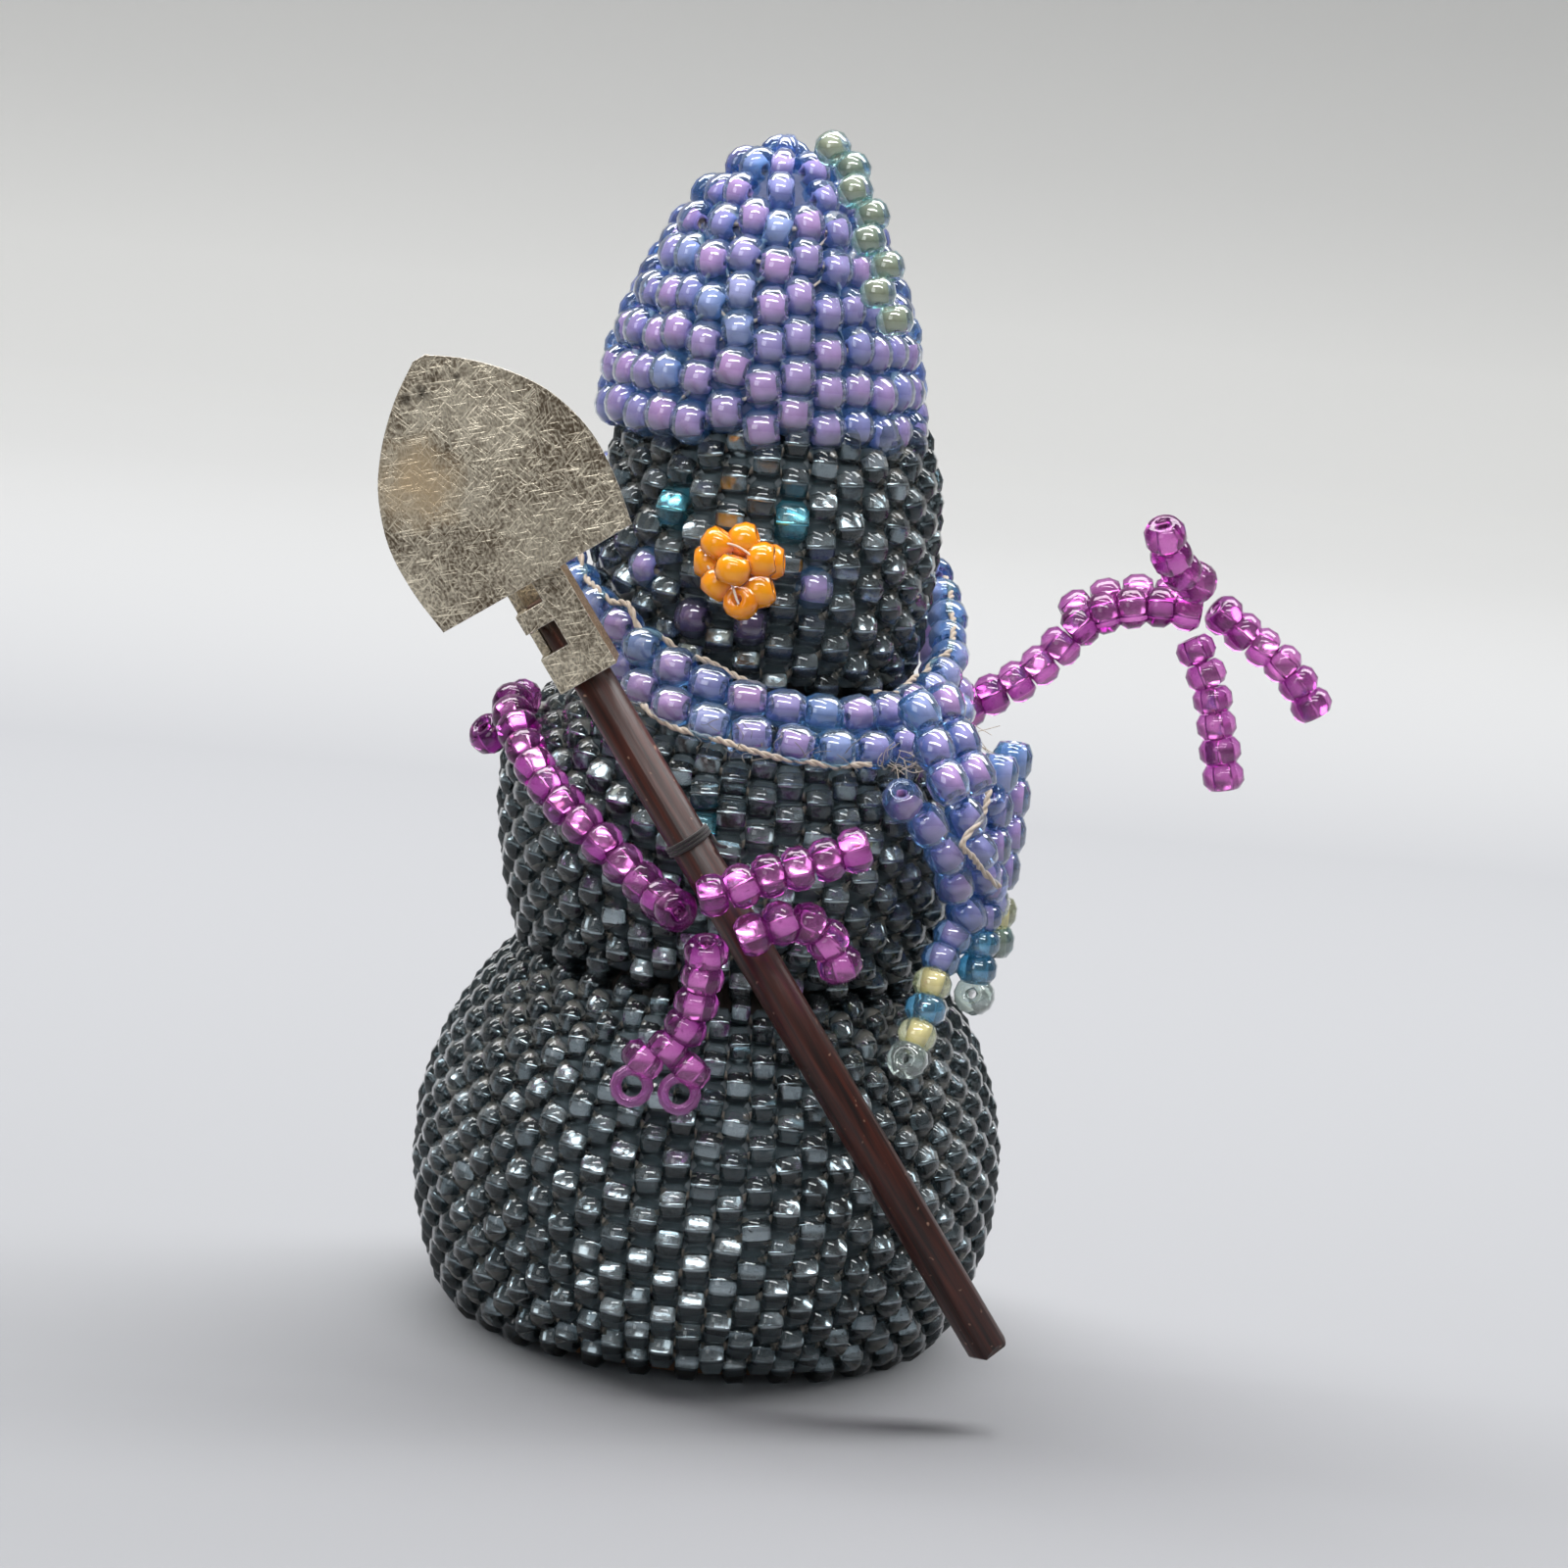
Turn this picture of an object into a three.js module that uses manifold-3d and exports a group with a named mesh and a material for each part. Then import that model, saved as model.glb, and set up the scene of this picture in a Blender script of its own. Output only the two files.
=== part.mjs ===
// Beaded snowman figure: a half-drop bead skin over a carved wooden former, with wired
// bead arms, a beaded scarf and hat, and a small metal shovel held across the front.
// Millimetres, +Z up, origin on the floor at the middle of the base, front towards -Y.
// Azimuths are in degrees from the front, growing towards the figure's left arm (+X).
import * as THREE from 'three';
import { mergeVertices } from 'three/addons/utils/BufferGeometryUtils.js';
import Module from 'manifold-3d';

// Gap between pieces that touch
const CLEARANCE = 0.3;

// Seed beads of the body weave, measured across and along the thread hole. A groove parts two
// beads of a strand, and a deeper one lies where four beads of the weave meet.
const BEAD_DIAMETER = 2.1;
const BEAD_LENGTH = 1.6;
const BEAD_GROOVE = 0.5;
const WEAVE_GROOVE = 0.9;

// Body: three balls, each widest at its own height and tucked in at its rims.
// The chest and the neck rise from the waist, the head and the hat's brim from the neck.
const BELLY_RADIUS = 15.2;
const BELLY_HEIGHT = 8.6;
const BELLY_PITCH = 1.45;
const BASE_TUCK = 2.2;
const WAIST_HEIGHT = 19.3;
const WAIST_TUCK = 1.6;
const CHEST_RADIUS = 12.5;
const CHEST_RISE = 8.7;
const CHEST_PITCH = 1.5;
const NECK_RISE = 14.7;
const NECK_TUCK = 0.8;
const HEAD_RADIUS = 8.9;
const HEAD_RISE = 7;
const HEAD_PITCH = 1.65;
const BRIM_RISE = 12.6;
const BRIM_TUCK = 1;
const CROWN_RISE = 5;

// Leather pad under the base
const PAD_THICKNESS = 1.2;

// Hat, a tapering cap of larger beads
const HAT_BEAD_DIAMETER = 2.2;
const HAT_BEAD_LENGTH = 1.85;
const HAT_RADIUS = 8.4;
const HAT_HEIGHT = 13.9;
const HAT_SIDE = 4.6;
const HAT_CROWN = 4.5;
const HAT_OFFSET = 0.9;
const TASSEL_AZIMUTH = 43;
const TASSEL_LENGTH = 10;

// Face and button, single beads of the weave, counted in columns from the middle of the face;
// the eyes rise from the head's widest height, the nose and mouth drop from it
const FACE_AZIMUTH = -13.4;
const EYE_COLUMNS = 2;
const EYE_RISE = 1.9;
const MOUTH_COLUMNS = 1;
const MOUTH_DROP = 4;
const MOUTH_CORNER_COLUMNS = 3;
const MOUTH_CORNER_DROP = 2;
const BUTTON_AZIMUTH = -9;
const NOSE_AZIMUTH = -7;
const NOSE_BEAD = 1.9;
const NOSE_DROP = 0.8;
const NOSE_RING_BEADS = 6;
const NOSE_TIP_BEADS = 3;
const NOSE_SPACING = 1.7;

// Scarf, a strip two beads wide, risen from the neck, that dips towards its knot; its fringes
// and the hat's tassel share a smaller bead
const SCARF_BEAD_DIAMETER = 2.05;
const SCARF_BEAD_LENGTH = 1.85;
const SCARF_RISE = 3.7;
const SCARF_DIP = 4.9;
const SCARF_DIP_AZIMUTH = 25;
const SCARF_EASE = 0.35;
const KNOT_AZIMUTH = 41;
const KNOT_ROWS = 2;
const KNOT_RISE = 0.5;
const FRONT_TAIL_AZIMUTH = 47;
const FRONT_TAIL_ROWS = 3;
const BACK_TAIL_AZIMUTH = 66;
const BACK_TAIL_ROWS = 3;
const FRINGE_BEAD_DIAMETER = 1.9;
const FRONT_FRINGE = 7.4;
const FRONT_FRINGE_SWAY = -2.4;
const BACK_FRINGE_LONG = 4.2;
const BACK_FRINGE_SHORT = 2.8;
const FRINGE_COLUMN = 0.55;

// Arms and fingers, strands of beads on wire, and the loose beads that end one finger;
// shoulders and bends drop from the neck
const ARM_BEAD_DIAMETER = 2.1;
const ARM_BEAD_LENGTH = 1.35;
const END_BEAD_HOLE = 0.9;
const WIRE_DIAMETER = 0.6;
const RIGHT_SHOULDER_AZIMUTH = -75.5;
const RIGHT_SHOULDER_DROP = 2.6;
const LEFT_SHOULDER_AZIMUTH = 99.5;
const LEFT_SHOULDER_DROP = 1.8;
const ARM_EASE = 0.1;
const PALM_FORWARD = 1.4;
const PALM_APPROACH = [-0.7, 1.5, 0];
const RIGHT_ARM_BENDS = [[-66, 3.3], [-57, 3.9], [-48, 4.9], [-37, 6.1], [-27, 7.5], [-19, 8.8]];

// Shovel: stamped blade, its point skewed to one side, with a folded socket on a round handle
// that leans to the right arm; the grip drops from the chest's widest height
const SHOVEL_LEAN = 35.6;
const GRIP_X = 0;
const GRIP_DROP = 3.8;
const HANDLE_DIAMETER = 2;
const HANDLE_BELOW_GRIP = 25.3;
const HANDLE_ABOVE_GRIP = 17.6;
const SHEET = 0.45;
const SOCKET_LENGTH = 5.8;
const SOCKET_START = 13.3;
const SOCKET_WINDOW = 1.35;
const SOCKET_BAND = 1.9;
const SOCKET_TAB = 1;
const BLADE_WIDTH = 11.1;
const BLADE_LENGTH = 11.7;
const BLADE_DISH = 0.45;
const BLADE_OFFSET = 0.35;
const BLADE_SKEW = 0.45;
const TIE_THREAD = 0.3;
const TIE_ABOVE_GRIP = 3.9;

// Sides of the round forms
const CORE_SIDES = 12;
const PAD_SIDES = 28;
const STRAND_SIDES = 6;
const BEAD_SIDES = 8;
const HANDLE_SIDES = 12;
const WALL_STEPS = 2;
const QUARTERS = 4;
const DEPTH_SAMPLES = 40;
const BLADE_COLUMNS = [-1, -0.6, 0, 0.6, 1];

// Outline of the blade from its shoulders to its point: share of the length, share of the width
const BLADE_OUTLINE = [[0, 0.93], [0.2, 0.995], [0.4, 0.995], [0.6, 0.87], [0.75, 0.67],
  [0.9, 0.36], [1, 0.06]];

const wasm = await Module();
wasm.setup();

const FINISHES = {
  greyGlass: { color: 0x3a3d42, roughness: 0.18, metalness: 0.25 },
  blueLustre: { color: 0x6f6a9c, roughness: 0.15, metalness: 0.2 },
  fuchsiaGlass: { color: 0xa3217f, roughness: 0.15, metalness: 0.2 },
  tealGlass: { color: 0x2aa3b5, roughness: 0.15, metalness: 0.25 },
  purpleGlass: { color: 0x5b4d74, roughness: 0.2, metalness: 0.1 },
  orangeGlass: { color: 0xf09a0c, roughness: 0.12, metalness: 0 },
  greenLustre: { color: 0x5f6b62, roughness: 0.18, metalness: 0.3 },
  pewter: { color: 0xa39a86, roughness: 0.45, metalness: 0.9 },
  stainedWood: { color: 0x3d1a14, roughness: 0.5, metalness: 0 },
  plainWood: { color: 0xc9a271, roughness: 0.7, metalness: 0 },
  leather: { color: 0x6b4a30, roughness: 0.8, metalness: 0 },
  steelWire: { color: 0x8c8c8c, roughness: 0.35, metalness: 1 },
  darkThread: { color: 0x1d1a1a, roughness: 0.9, metalness: 0 },
};

const radians = THREE.MathUtils.degToRad;
const vector = (x, y, z) => new THREE.Vector3(x, y, z);

// A point at an azimuth, a distance from the figure's axis and a height
function around(azimuth, radius, height) {
  const angle = radians(azimuth);
  return vector(radius * Math.sin(angle), -radius * Math.cos(angle), height);
}

// The level direction that grows with azimuth
function along(azimuth) {
  return around(azimuth + 90, 1, 0);
}

// Welds shared corners, drops collapsed triangles and turns every face outwards
function weld(geometry) {
  geometry.deleteAttribute('normal');
  geometry.deleteAttribute('uv');
  const merged = mergeVertices(geometry);
  const corners = merged.index.array;
  const kept = [];
  for (let i = 0; i < corners.length; i += 3) {
    const [a, b, c] = [corners[i], corners[i + 1], corners[i + 2]];
    if (a !== b && b !== c && c !== a) kept.push(a, b, c);
  }
  merged.setIndex(signedVolume(merged, kept) < 0 ? kept.reverse() : kept);
  merged.computeVertexNormals();
  return merged;
}

function signedVolume(geometry, corners) {
  const points = geometry.attributes.position;
  const [a, b, c] = [vector(), vector(), vector()];
  let volume = 0;
  for (let i = 0; i < corners.length; i += 3) {
    a.fromBufferAttribute(points, corners[i]);
    b.fromBufferAttribute(points, corners[i + 1]);
    c.fromBufferAttribute(points, corners[i + 2]);
    volume += a.dot(b.cross(c));
  }
  return volume;
}

function solid(geometry) {
  const welded = weld(geometry);
  const vertProperties = new Float32Array(welded.attributes.position.array);
  const triVerts = new Uint32Array(welded.index.array);
  return new wasm.Manifold(new wasm.Mesh({ numProp: 3, vertProperties, triVerts }));
}

function surface(manifold) {
  const mesh = manifold.getMesh();
  const geometry = new THREE.BufferGeometry();
  geometry.setAttribute('position', new THREE.BufferAttribute(mesh.vertProperties, mesh.numProp));
  geometry.setIndex(new THREE.BufferAttribute(mesh.triVerts, 1));
  return geometry;
}

// Turns a profile of (radius, height) points about the figure's axis
function turned(profile, sides) {
  return new THREE.LatheGeometry(profile, sides).rotateX(Math.PI / 2);
}

// Skins a row of rings that have the same number of points
function loft(rings, closed = false) {
  const size = rings[0].length;
  const points = rings.flat();
  const faces = [];
  const spans = closed ? rings.length : rings.length - 1;
  for (let i = 0; i < spans; i += 1) {
    const here = i * size;
    const next = ((i + 1) % rings.length) * size;
    for (let k = 0; k < size; k += 1) {
      const side = (k + 1) % size;
      faces.push(here + k, here + side, next + side, here + k, next + side, next + k);
    }
  }
  if (!closed) {
    capRing(points, faces, 0, size, true);
    capRing(points, faces, (rings.length - 1) * size, size, false);
  }
  const geometry = new THREE.BufferGeometry().setFromPoints(points);
  return geometry.setIndex(faces);
}

function capRing(points, faces, first, size, facesBack) {
  const ring = points.slice(first, first + size);
  const middle = points.length;
  points.push(ring.reduce((sum, point) => sum.add(point), vector()).divideScalar(size));
  for (let k = 0; k < size; k += 1) {
    const [a, b] = [first + k, first + ((k + 1) % size)];
    if (facesBack) faces.push(middle, b, a);
    else faces.push(middle, a, b);
  }
}

// Outline of a ball: two quarter ellipses that meet at its widest height
function quarter(rim, wide) {
  const spread = Math.acos(rim.radius / wide.radius);
  const rise = (rim.height - wide.height) / Math.sin(spread);
  return { spread, rise };
}

function ballOutline({ low, wide, high }) {
  const below = quarter(low, wide);
  const above = quarter(high, wide);
  const outline = new THREE.CurvePath();
  outline.add(new THREE.EllipseCurve(0, wide.height, wide.radius, -below.rise, -below.spread, 0));
  outline.add(new THREE.EllipseCurve(0, wide.height, wide.radius, above.rise, 0, above.spread));
  return outline;
}

function ballRadius({ low, wide, high }, height) {
  const { rise } = quarter(height < wide.height ? low : high, wide);
  return wide.radius * Math.sqrt(1 - ((height - wide.height) / rise) ** 2);
}

const chestHeight = WAIST_HEIGHT + CHEST_RISE;
const neckHeight = WAIST_HEIGHT + NECK_RISE;
const headHeight = neckHeight + HEAD_RISE;
const brimHeight = neckHeight + BRIM_RISE;
const gripHeight = chestHeight - GRIP_DROP;

const rim = (radius, height) => ({ radius, height });
const waistRadius = CHEST_RADIUS - WAIST_TUCK;
const neckRadius = HEAD_RADIUS - NECK_TUCK;
const halfGap = CLEARANCE / 2;

const LOWER = {
  turn: 0,
  pitch: BELLY_PITCH,
  low: rim(BELLY_RADIUS - BASE_TUCK, CLEARANCE),
  wide: rim(BELLY_RADIUS, BELLY_HEIGHT),
  high: rim(waistRadius, WAIST_HEIGHT - halfGap),
};
const TORSO = {
  turn: BUTTON_AZIMUTH,
  pitch: CHEST_PITCH,
  low: rim(waistRadius, WAIST_HEIGHT + halfGap),
  wide: rim(CHEST_RADIUS, chestHeight),
  high: rim(neckRadius, neckHeight - halfGap),
};
const HEAD = {
  turn: FACE_AZIMUTH,
  pitch: HEAD_PITCH,
  low: rim(neckRadius, neckHeight + halfGap),
  wide: rim(HEAD_RADIUS, headHeight),
  high: rim(HEAD_RADIUS - BRIM_TUCK, brimHeight),
};

function bodyRadius(height) {
  if (height < WAIST_HEIGHT) return ballRadius(LOWER, height);
  return ballRadius(height < neckHeight ? TORSO : HEAD, height);
}

// Half-drop weave: every second corner of the lattice is a bead's crest, the rest are grooves
const evenCount = (count) => 2 * Math.round(count / 2);

function weaveLattice(ball) {
  const outline = ballOutline(ball);
  const crests = outline.getSpacedPoints(Math.round(outline.getLength() / (BEAD_DIAMETER / 2)));
  const columns = evenCount((2 * Math.PI * ball.wide.radius) / ball.pitch);
  return { crests, columns };
}

// Sinks the grooves of a turned lattice and folds every square along its groove corners
function weave(geometry, profileSize, firstRow, lastRow) {
  const points = geometry.attributes.position;
  const isGroove = (corner) => (Math.floor(corner / profileSize) + (corner % profileSize)) % 2 === 1;
  for (let corner = 0; corner < points.count; corner += 1) {
    const row = corner % profileSize;
    if (row < firstRow || row > lastRow || !isGroove(corner)) continue;
    const radius = Math.hypot(points.getX(corner), points.getY(corner));
    const sunk = (radius - WEAVE_GROOVE) / radius;
    points.setXY(corner, points.getX(corner) * sunk, points.getY(corner) * sunk);
  }
  const faces = geometry.index.array;
  for (let k = 0; k < faces.length; k += 6) {
    const [a, b, d, c] = faces.slice(k, k + 4);
    if (isGroove(a)) faces.set([a, b, c, a, c, d], k);
  }
}

const innerWall = (ball) => ballOutline(ball).getSpacedPoints(WALL_STEPS)
  .map((point) => new THREE.Vector2(point.x - BEAD_DIAMETER, point.y));

function beadSkin(ball) {
  const { crests, columns } = weaveLattice(ball);
  const profile = [...crests, ...innerWall(ball).reverse(), crests[0].clone()];
  const skin = turned(profile, columns);
  weave(skin, profile.length, 0, crests.length - 1);
  const points = skin.attributes.position;
  for (let column = 0; column <= columns; column += 1) {
    const first = column * profile.length;
    const last = first + profile.length - 1;
    points.setXYZ(last, points.getX(first), points.getY(first), points.getZ(first));
  }
  return skin.rotateZ(radians(ball.turn));
}

// The bead of a column that is nearest to a height; columns count from the lattice's turn
function weaveSite(ball, column, height) {
  const { crests, columns } = weaveLattice(ball);
  const distance = (row) => Math.abs(crests[row].y - height);
  const rows = [...crests.keys()].filter((row) => (row + column) % 2 === 0);
  const row = rows.reduce((best, next) => (distance(next) < distance(best) ? next : best));
  return { azimuth: ball.turn + (360 * column) / columns, radius: crests[row].x, height: crests[row].y };
}

// A barrel-shaped bead without its hole, lying level in the weave, grown by a margin
function weaveBead({ azimuth, radius, height }, margin = 0) {
  const outer = BEAD_DIAMETER / 2 + margin;
  const half = BEAD_LENGTH / 2 - halfGap + margin;
  const profile = [
    new THREE.Vector2(0, -half),
    new THREE.Vector2(outer - BEAD_GROOVE, -half),
    new THREE.Vector2(outer, -half / 2),
    new THREE.Vector2(outer, half / 2),
    new THREE.Vector2(outer - BEAD_GROOVE, half),
    new THREE.Vector2(0, half),
  ];
  const bead = new THREE.LatheGeometry(profile, BEAD_SIDES).rotateZ(-Math.PI / 2);
  const centre = around(azimuth, radius - BEAD_DIAMETER / 2, height);
  return bead.rotateZ(radians(azimuth)).translate(centre.x, centre.y, centre.z);
}

const faceSites = {
  right_eye: weaveSite(HEAD, -EYE_COLUMNS, headHeight + EYE_RISE),
  left_eye: weaveSite(HEAD, EYE_COLUMNS, headHeight + EYE_RISE),
  mouth_bead_1: weaveSite(HEAD, -MOUTH_CORNER_COLUMNS, headHeight - MOUTH_CORNER_DROP),
  mouth_bead_2: weaveSite(HEAD, -MOUTH_COLUMNS, headHeight - MOUTH_DROP),
  mouth_bead_3: weaveSite(HEAD, MOUTH_COLUMNS, headHeight - MOUTH_DROP),
  mouth_bead_4: weaveSite(HEAD, MOUTH_CORNER_COLUMNS, headHeight - MOUTH_CORNER_DROP),
};
const buttonSite = weaveSite(TORSO, 0, chestHeight);

// Wooden former, a little smaller than the inside of the skins, with a crown for the hat
const crownRadius = HAT_RADIUS - HAT_BEAD_DIAMETER - HAT_OFFSET - 2 * CLEARANCE;

function woodCore() {
  const walls = [LOWER, TORSO, HEAD].flatMap(innerWall);
  const profile = walls.map((point) => new THREE.Vector2(point.x - CLEARANCE, point.y));
  profile[0].y = PAD_THICKNESS + CLEARANCE;
  const crown = new THREE.EllipseCurve(0, brimHeight, crownRadius, CROWN_RISE, 0, Math.PI / 2);
  const bottom = new THREE.Vector2(0, profile[0].y);
  const core = turned([bottom, ...profile, ...crown.getPoints(WALL_STEPS)], CORE_SIDES);
  return surface(solid(core).subtract(shoulderHole()));
}

function basePad() {
  const radius = LOWER.low.radius - BEAD_DIAMETER - CLEARANCE;
  const profile = [
    new THREE.Vector2(0, 0),
    new THREE.Vector2(radius, 0),
    new THREE.Vector2(radius, PAD_THICKNESS),
    new THREE.Vector2(0, PAD_THICKNESS),
  ];
  return turned(profile, PAD_SIDES);
}

// A point lifted square off the torso's surface
function offTorso(azimuth, height, lift) {
  const { rise } = quarter(height < chestHeight ? TORSO.low : TORSO.high, TORSO.wide);
  const radius = ballRadius(TORSO, height);
  const outward = new THREE.Vector2(radius / CHEST_RADIUS ** 2, (height - chestHeight) / rise ** 2);
  outward.setLength(lift);
  return around(azimuth, radius + outward.x, height + outward.y);
}

// Shoulders, and the wire between them that both arms are strung on
const rightShoulder = (lift) => offTorso(RIGHT_SHOULDER_AZIMUTH, neckHeight - RIGHT_SHOULDER_DROP, lift);
const leftShoulder = (lift) => offTorso(LEFT_SHOULDER_AZIMUTH, neckHeight - LEFT_SHOULDER_DROP, lift);

function rod(start, end, diameter, sides) {
  const length = start.distanceTo(end);
  const cylinder = new THREE.CylinderGeometry(diameter / 2, diameter / 2, length, sides);
  const axis = end.clone().sub(start).normalize();
  const turn = new THREE.Quaternion().setFromUnitVectors(vector(0, 1, 0), axis);
  const middle = start.clone().lerp(end, 0.5);
  return cylinder.applyQuaternion(turn).translate(middle.x, middle.y, middle.z);
}

function shoulderRod(diameter, reach) {
  const [start, end] = [rightShoulder(0), leftShoulder(0)];
  const axis = end.clone().sub(start).normalize();
  return rod(start.addScaledVector(axis, -reach), end.addScaledVector(axis, reach), diameter, BEAD_SIDES);
}

const shoulderHole = () => solid(shoulderRod(WIRE_DIAMETER + 2 * CLEARANCE, BEAD_DIAMETER));

function torsoSkin() {
  const pocket = solid(weaveBead(buttonSite, CLEARANCE));
  return surface(solid(beadSkin(TORSO)).subtract(pocket).subtract(shoulderHole()));
}

function headSkin() {
  let skin = solid(beadSkin(HEAD));
  for (const site of Object.values(faceSites)) skin = skin.subtract(solid(weaveBead(site, CLEARANCE)));
  return surface(skin);
}

// Carrot nose: a ring of beads against the face and a smaller ring in front of it
function carrotNose() {
  const height = headHeight - NOSE_DROP;
  const base = ballRadius(HEAD, height) + CLEARANCE + NOSE_BEAD / 2;
  const side = along(NOSE_AZIMUTH);
  let cluster = noseBead(around(NOSE_AZIMUTH, base, height));
  const rings = [[NOSE_RING_BEADS, 0], [NOSE_TIP_BEADS, NOSE_SPACING * Math.sqrt(1 / 2)]];
  for (const [count, forward] of rings) {
    const spread = NOSE_SPACING / 2 / Math.sin(Math.PI / count);
    for (let k = 0; k < count; k += 1) {
      const angle = (2 * Math.PI * k) / count;
      const centre = around(NOSE_AZIMUTH, base + forward, height + spread * Math.sin(angle));
      cluster = cluster.add(noseBead(centre.addScaledVector(side, spread * Math.cos(angle))));
    }
  }
  return surface(cluster);
}

function noseBead(centre) {
  const bead = new THREE.SphereGeometry(NOSE_BEAD / 2, STRAND_SIDES, QUARTERS);
  return solid(bead.translate(centre.x, centre.y, centre.z));
}

// Hat
const hatBase = brimHeight + CLEARANCE;
const hatTip = hatBase + HAT_HEIGHT;
const hatOutline = new THREE.CubicBezierCurve(
  new THREE.Vector2(HAT_RADIUS, hatBase),
  new THREE.Vector2(HAT_RADIUS, hatBase + HAT_SIDE),
  new THREE.Vector2(HAT_CROWN, hatTip),
  new THREE.Vector2(0, hatTip),
);

function hatCap() {
  const rows = Math.round(hatOutline.getLength() / (HAT_BEAD_DIAMETER / 2));
  const columns = evenCount((2 * Math.PI * HAT_RADIUS) / HAT_BEAD_LENGTH);
  const outside = hatOutline.getSpacedPoints(rows);
  const inset = 1 - HAT_BEAD_DIAMETER / HAT_RADIUS;
  const inside = hatOutline.getSpacedPoints(WALL_STEPS)
    .map((point) => new THREE.Vector2(point.x * inset, hatBase + (point.y - hatBase) * inset));
  const profile = [...inside.reverse(), ...outside];
  const cap = turned(profile, columns);
  weave(cap, profile.length, inside.length, profile.length - 2);
  return cap.translate(-HAT_OFFSET, 0, 0);
}

// A strand of beads on a wire: a rippled profile, bent along its route
function strandProfile(beads, diameter) {
  const profile = [new THREE.Vector2(0, 0), new THREE.Vector2(diameter / 4, 0)];
  for (let k = 0; k < beads * QUARTERS; k += QUARTERS) {
    profile.push(new THREE.Vector2(diameter / 2, k + 1));
    profile.push(new THREE.Vector2(diameter / 2, k + QUARTERS - 1));
    profile.push(new THREE.Vector2(diameter / 2 - BEAD_GROOVE, k + QUARTERS));
  }
  profile.push(new THREE.Vector2(0, beads * QUARTERS));
  return profile;
}

function beadStrand(route, diameter, beadLength) {
  const curve = new THREE.CatmullRomCurve3(route);
  const beads = Math.round(curve.getLength() / beadLength);
  const steps = beads * QUARTERS;
  const { normals, binormals } = curve.computeFrenetFrames(steps);
  const strand = new THREE.LatheGeometry(strandProfile(beads, diameter), STRAND_SIDES);
  const points = strand.attributes.position;
  for (let k = 0; k < points.count; k += 1) {
    const step = Math.round(points.getY(k));
    const place = curve.getPointAt(step / steps)
      .addScaledVector(normals[step], points.getX(k))
      .addScaledVector(binormals[step], -points.getZ(k));
    points.setXYZ(k, place.x, place.y, place.z);
  }
  return strand;
}

function hatTassel() {
  const lift = FRINGE_BEAD_DIAMETER / 2 + CLEARANCE;
  const reach = TASSEL_LENGTH / hatOutline.getLength();
  const first = 1 - (2 * lift) / hatOutline.getLength();
  const route = Array.from({ length: QUARTERS + 1 }, (_, k) => {
    const at = first - (reach * k) / QUARTERS;
    const point = hatOutline.getPointAt(at);
    const slope = hatOutline.getTangentAt(at);
    const place = around(TASSEL_AZIMUTH, point.x + slope.y * lift, point.y - slope.x * lift);
    return place.add(vector(-HAT_OFFSET, 0, 0));
  });
  return beadStrand(route, FRINGE_BEAD_DIAMETER, ARM_BEAD_LENGTH);
}

// A strip two beads wide; every second station is the middle of a row of beads
function beadBand(stations, closed) {
  const half = SCARF_BEAD_DIAMETER / 2;
  const pinch = half - BEAD_GROOVE;
  const edge = SCARF_BEAD_LENGTH - BEAD_GROOVE;
  const rings = stations.map(({ centre, across, out }, k) => {
    const thick = k % 2 === 0 ? pinch : half;
    const section = [
      [-SCARF_BEAD_LENGTH, 0], [-edge, thick], [0, pinch], [edge, thick],
      [SCARF_BEAD_LENGTH, 0], [edge, -thick], [0, -pinch], [-edge, -thick],
    ];
    return section.map(([a, o]) => centre.clone().addScaledVector(across, a).addScaledVector(out, o));
  });
  return loft(rings, closed);
}

// The scarf leans against the body: its edges rest on the radius at their own heights
const scarfLift = CLEARANCE + SCARF_EASE + SCARF_BEAD_DIAMETER / 2;

function scarfStation(azimuth) {
  const dip = SCARF_DIP * Math.cos(radians(azimuth - SCARF_DIP_AZIMUTH));
  const height = neckHeight + SCARF_RISE - dip;
  const low = height - SCARF_BEAD_LENGTH;
  const high = height + SCARF_BEAD_LENGTH;
  const lowRadius = bodyRadius(low) + scarfLift;
  const highRadius = bodyRadius(high) + scarfLift;
  const across = around(azimuth, highRadius - lowRadius, high - low).normalize();
  const centre = around(azimuth, (lowRadius + highRadius) / 2, height);
  return { centre, across, out: along(azimuth).cross(across) };
}

function scarfWrap() {
  const girth = 2 * Math.PI * (HEAD_RADIUS + scarfLift);
  const beads = Math.round(girth / SCARF_BEAD_DIAMETER);
  const turns = Array.from({ length: 2 * beads }, (_, k) => (180 * k) / beads);
  return beadBand(turns.map(scarfStation), true);
}

// The knot crosses over the wrap, and the front tail hangs from its lower end
const knotSeat = scarfStation(KNOT_AZIMUTH);

function knotStation(rowsDown) {
  const centre = knotSeat.centre.clone()
    .addScaledVector(knotSeat.out, SCARF_BEAD_DIAMETER + CLEARANCE)
    .addScaledVector(knotSeat.across, (KNOT_RISE - rowsDown) * SCARF_BEAD_DIAMETER);
  return { centre, across: along(KNOT_AZIMUTH), out: knotSeat.out };
}

const halfRows = (rows) => Array.from({ length: 2 * rows + 1 }, (_, k) => k / 2);

function scarfKnot() {
  return beadBand(halfRows(KNOT_ROWS).map((row) => knotStation(row)), false);
}

// A tail follows a route of (radius, height) points in the upright plane of its azimuth
function tailStations(azimuth, route, rows) {
  return halfRows(rows).map((row) => {
    const point = route.getPointAt(row / rows);
    const slope = route.getTangentAt(row / rows);
    const centre = around(azimuth, point.x, point.y);
    return { centre, across: along(azimuth), out: around(azimuth, -slope.y, slope.x) };
  });
}

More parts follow.
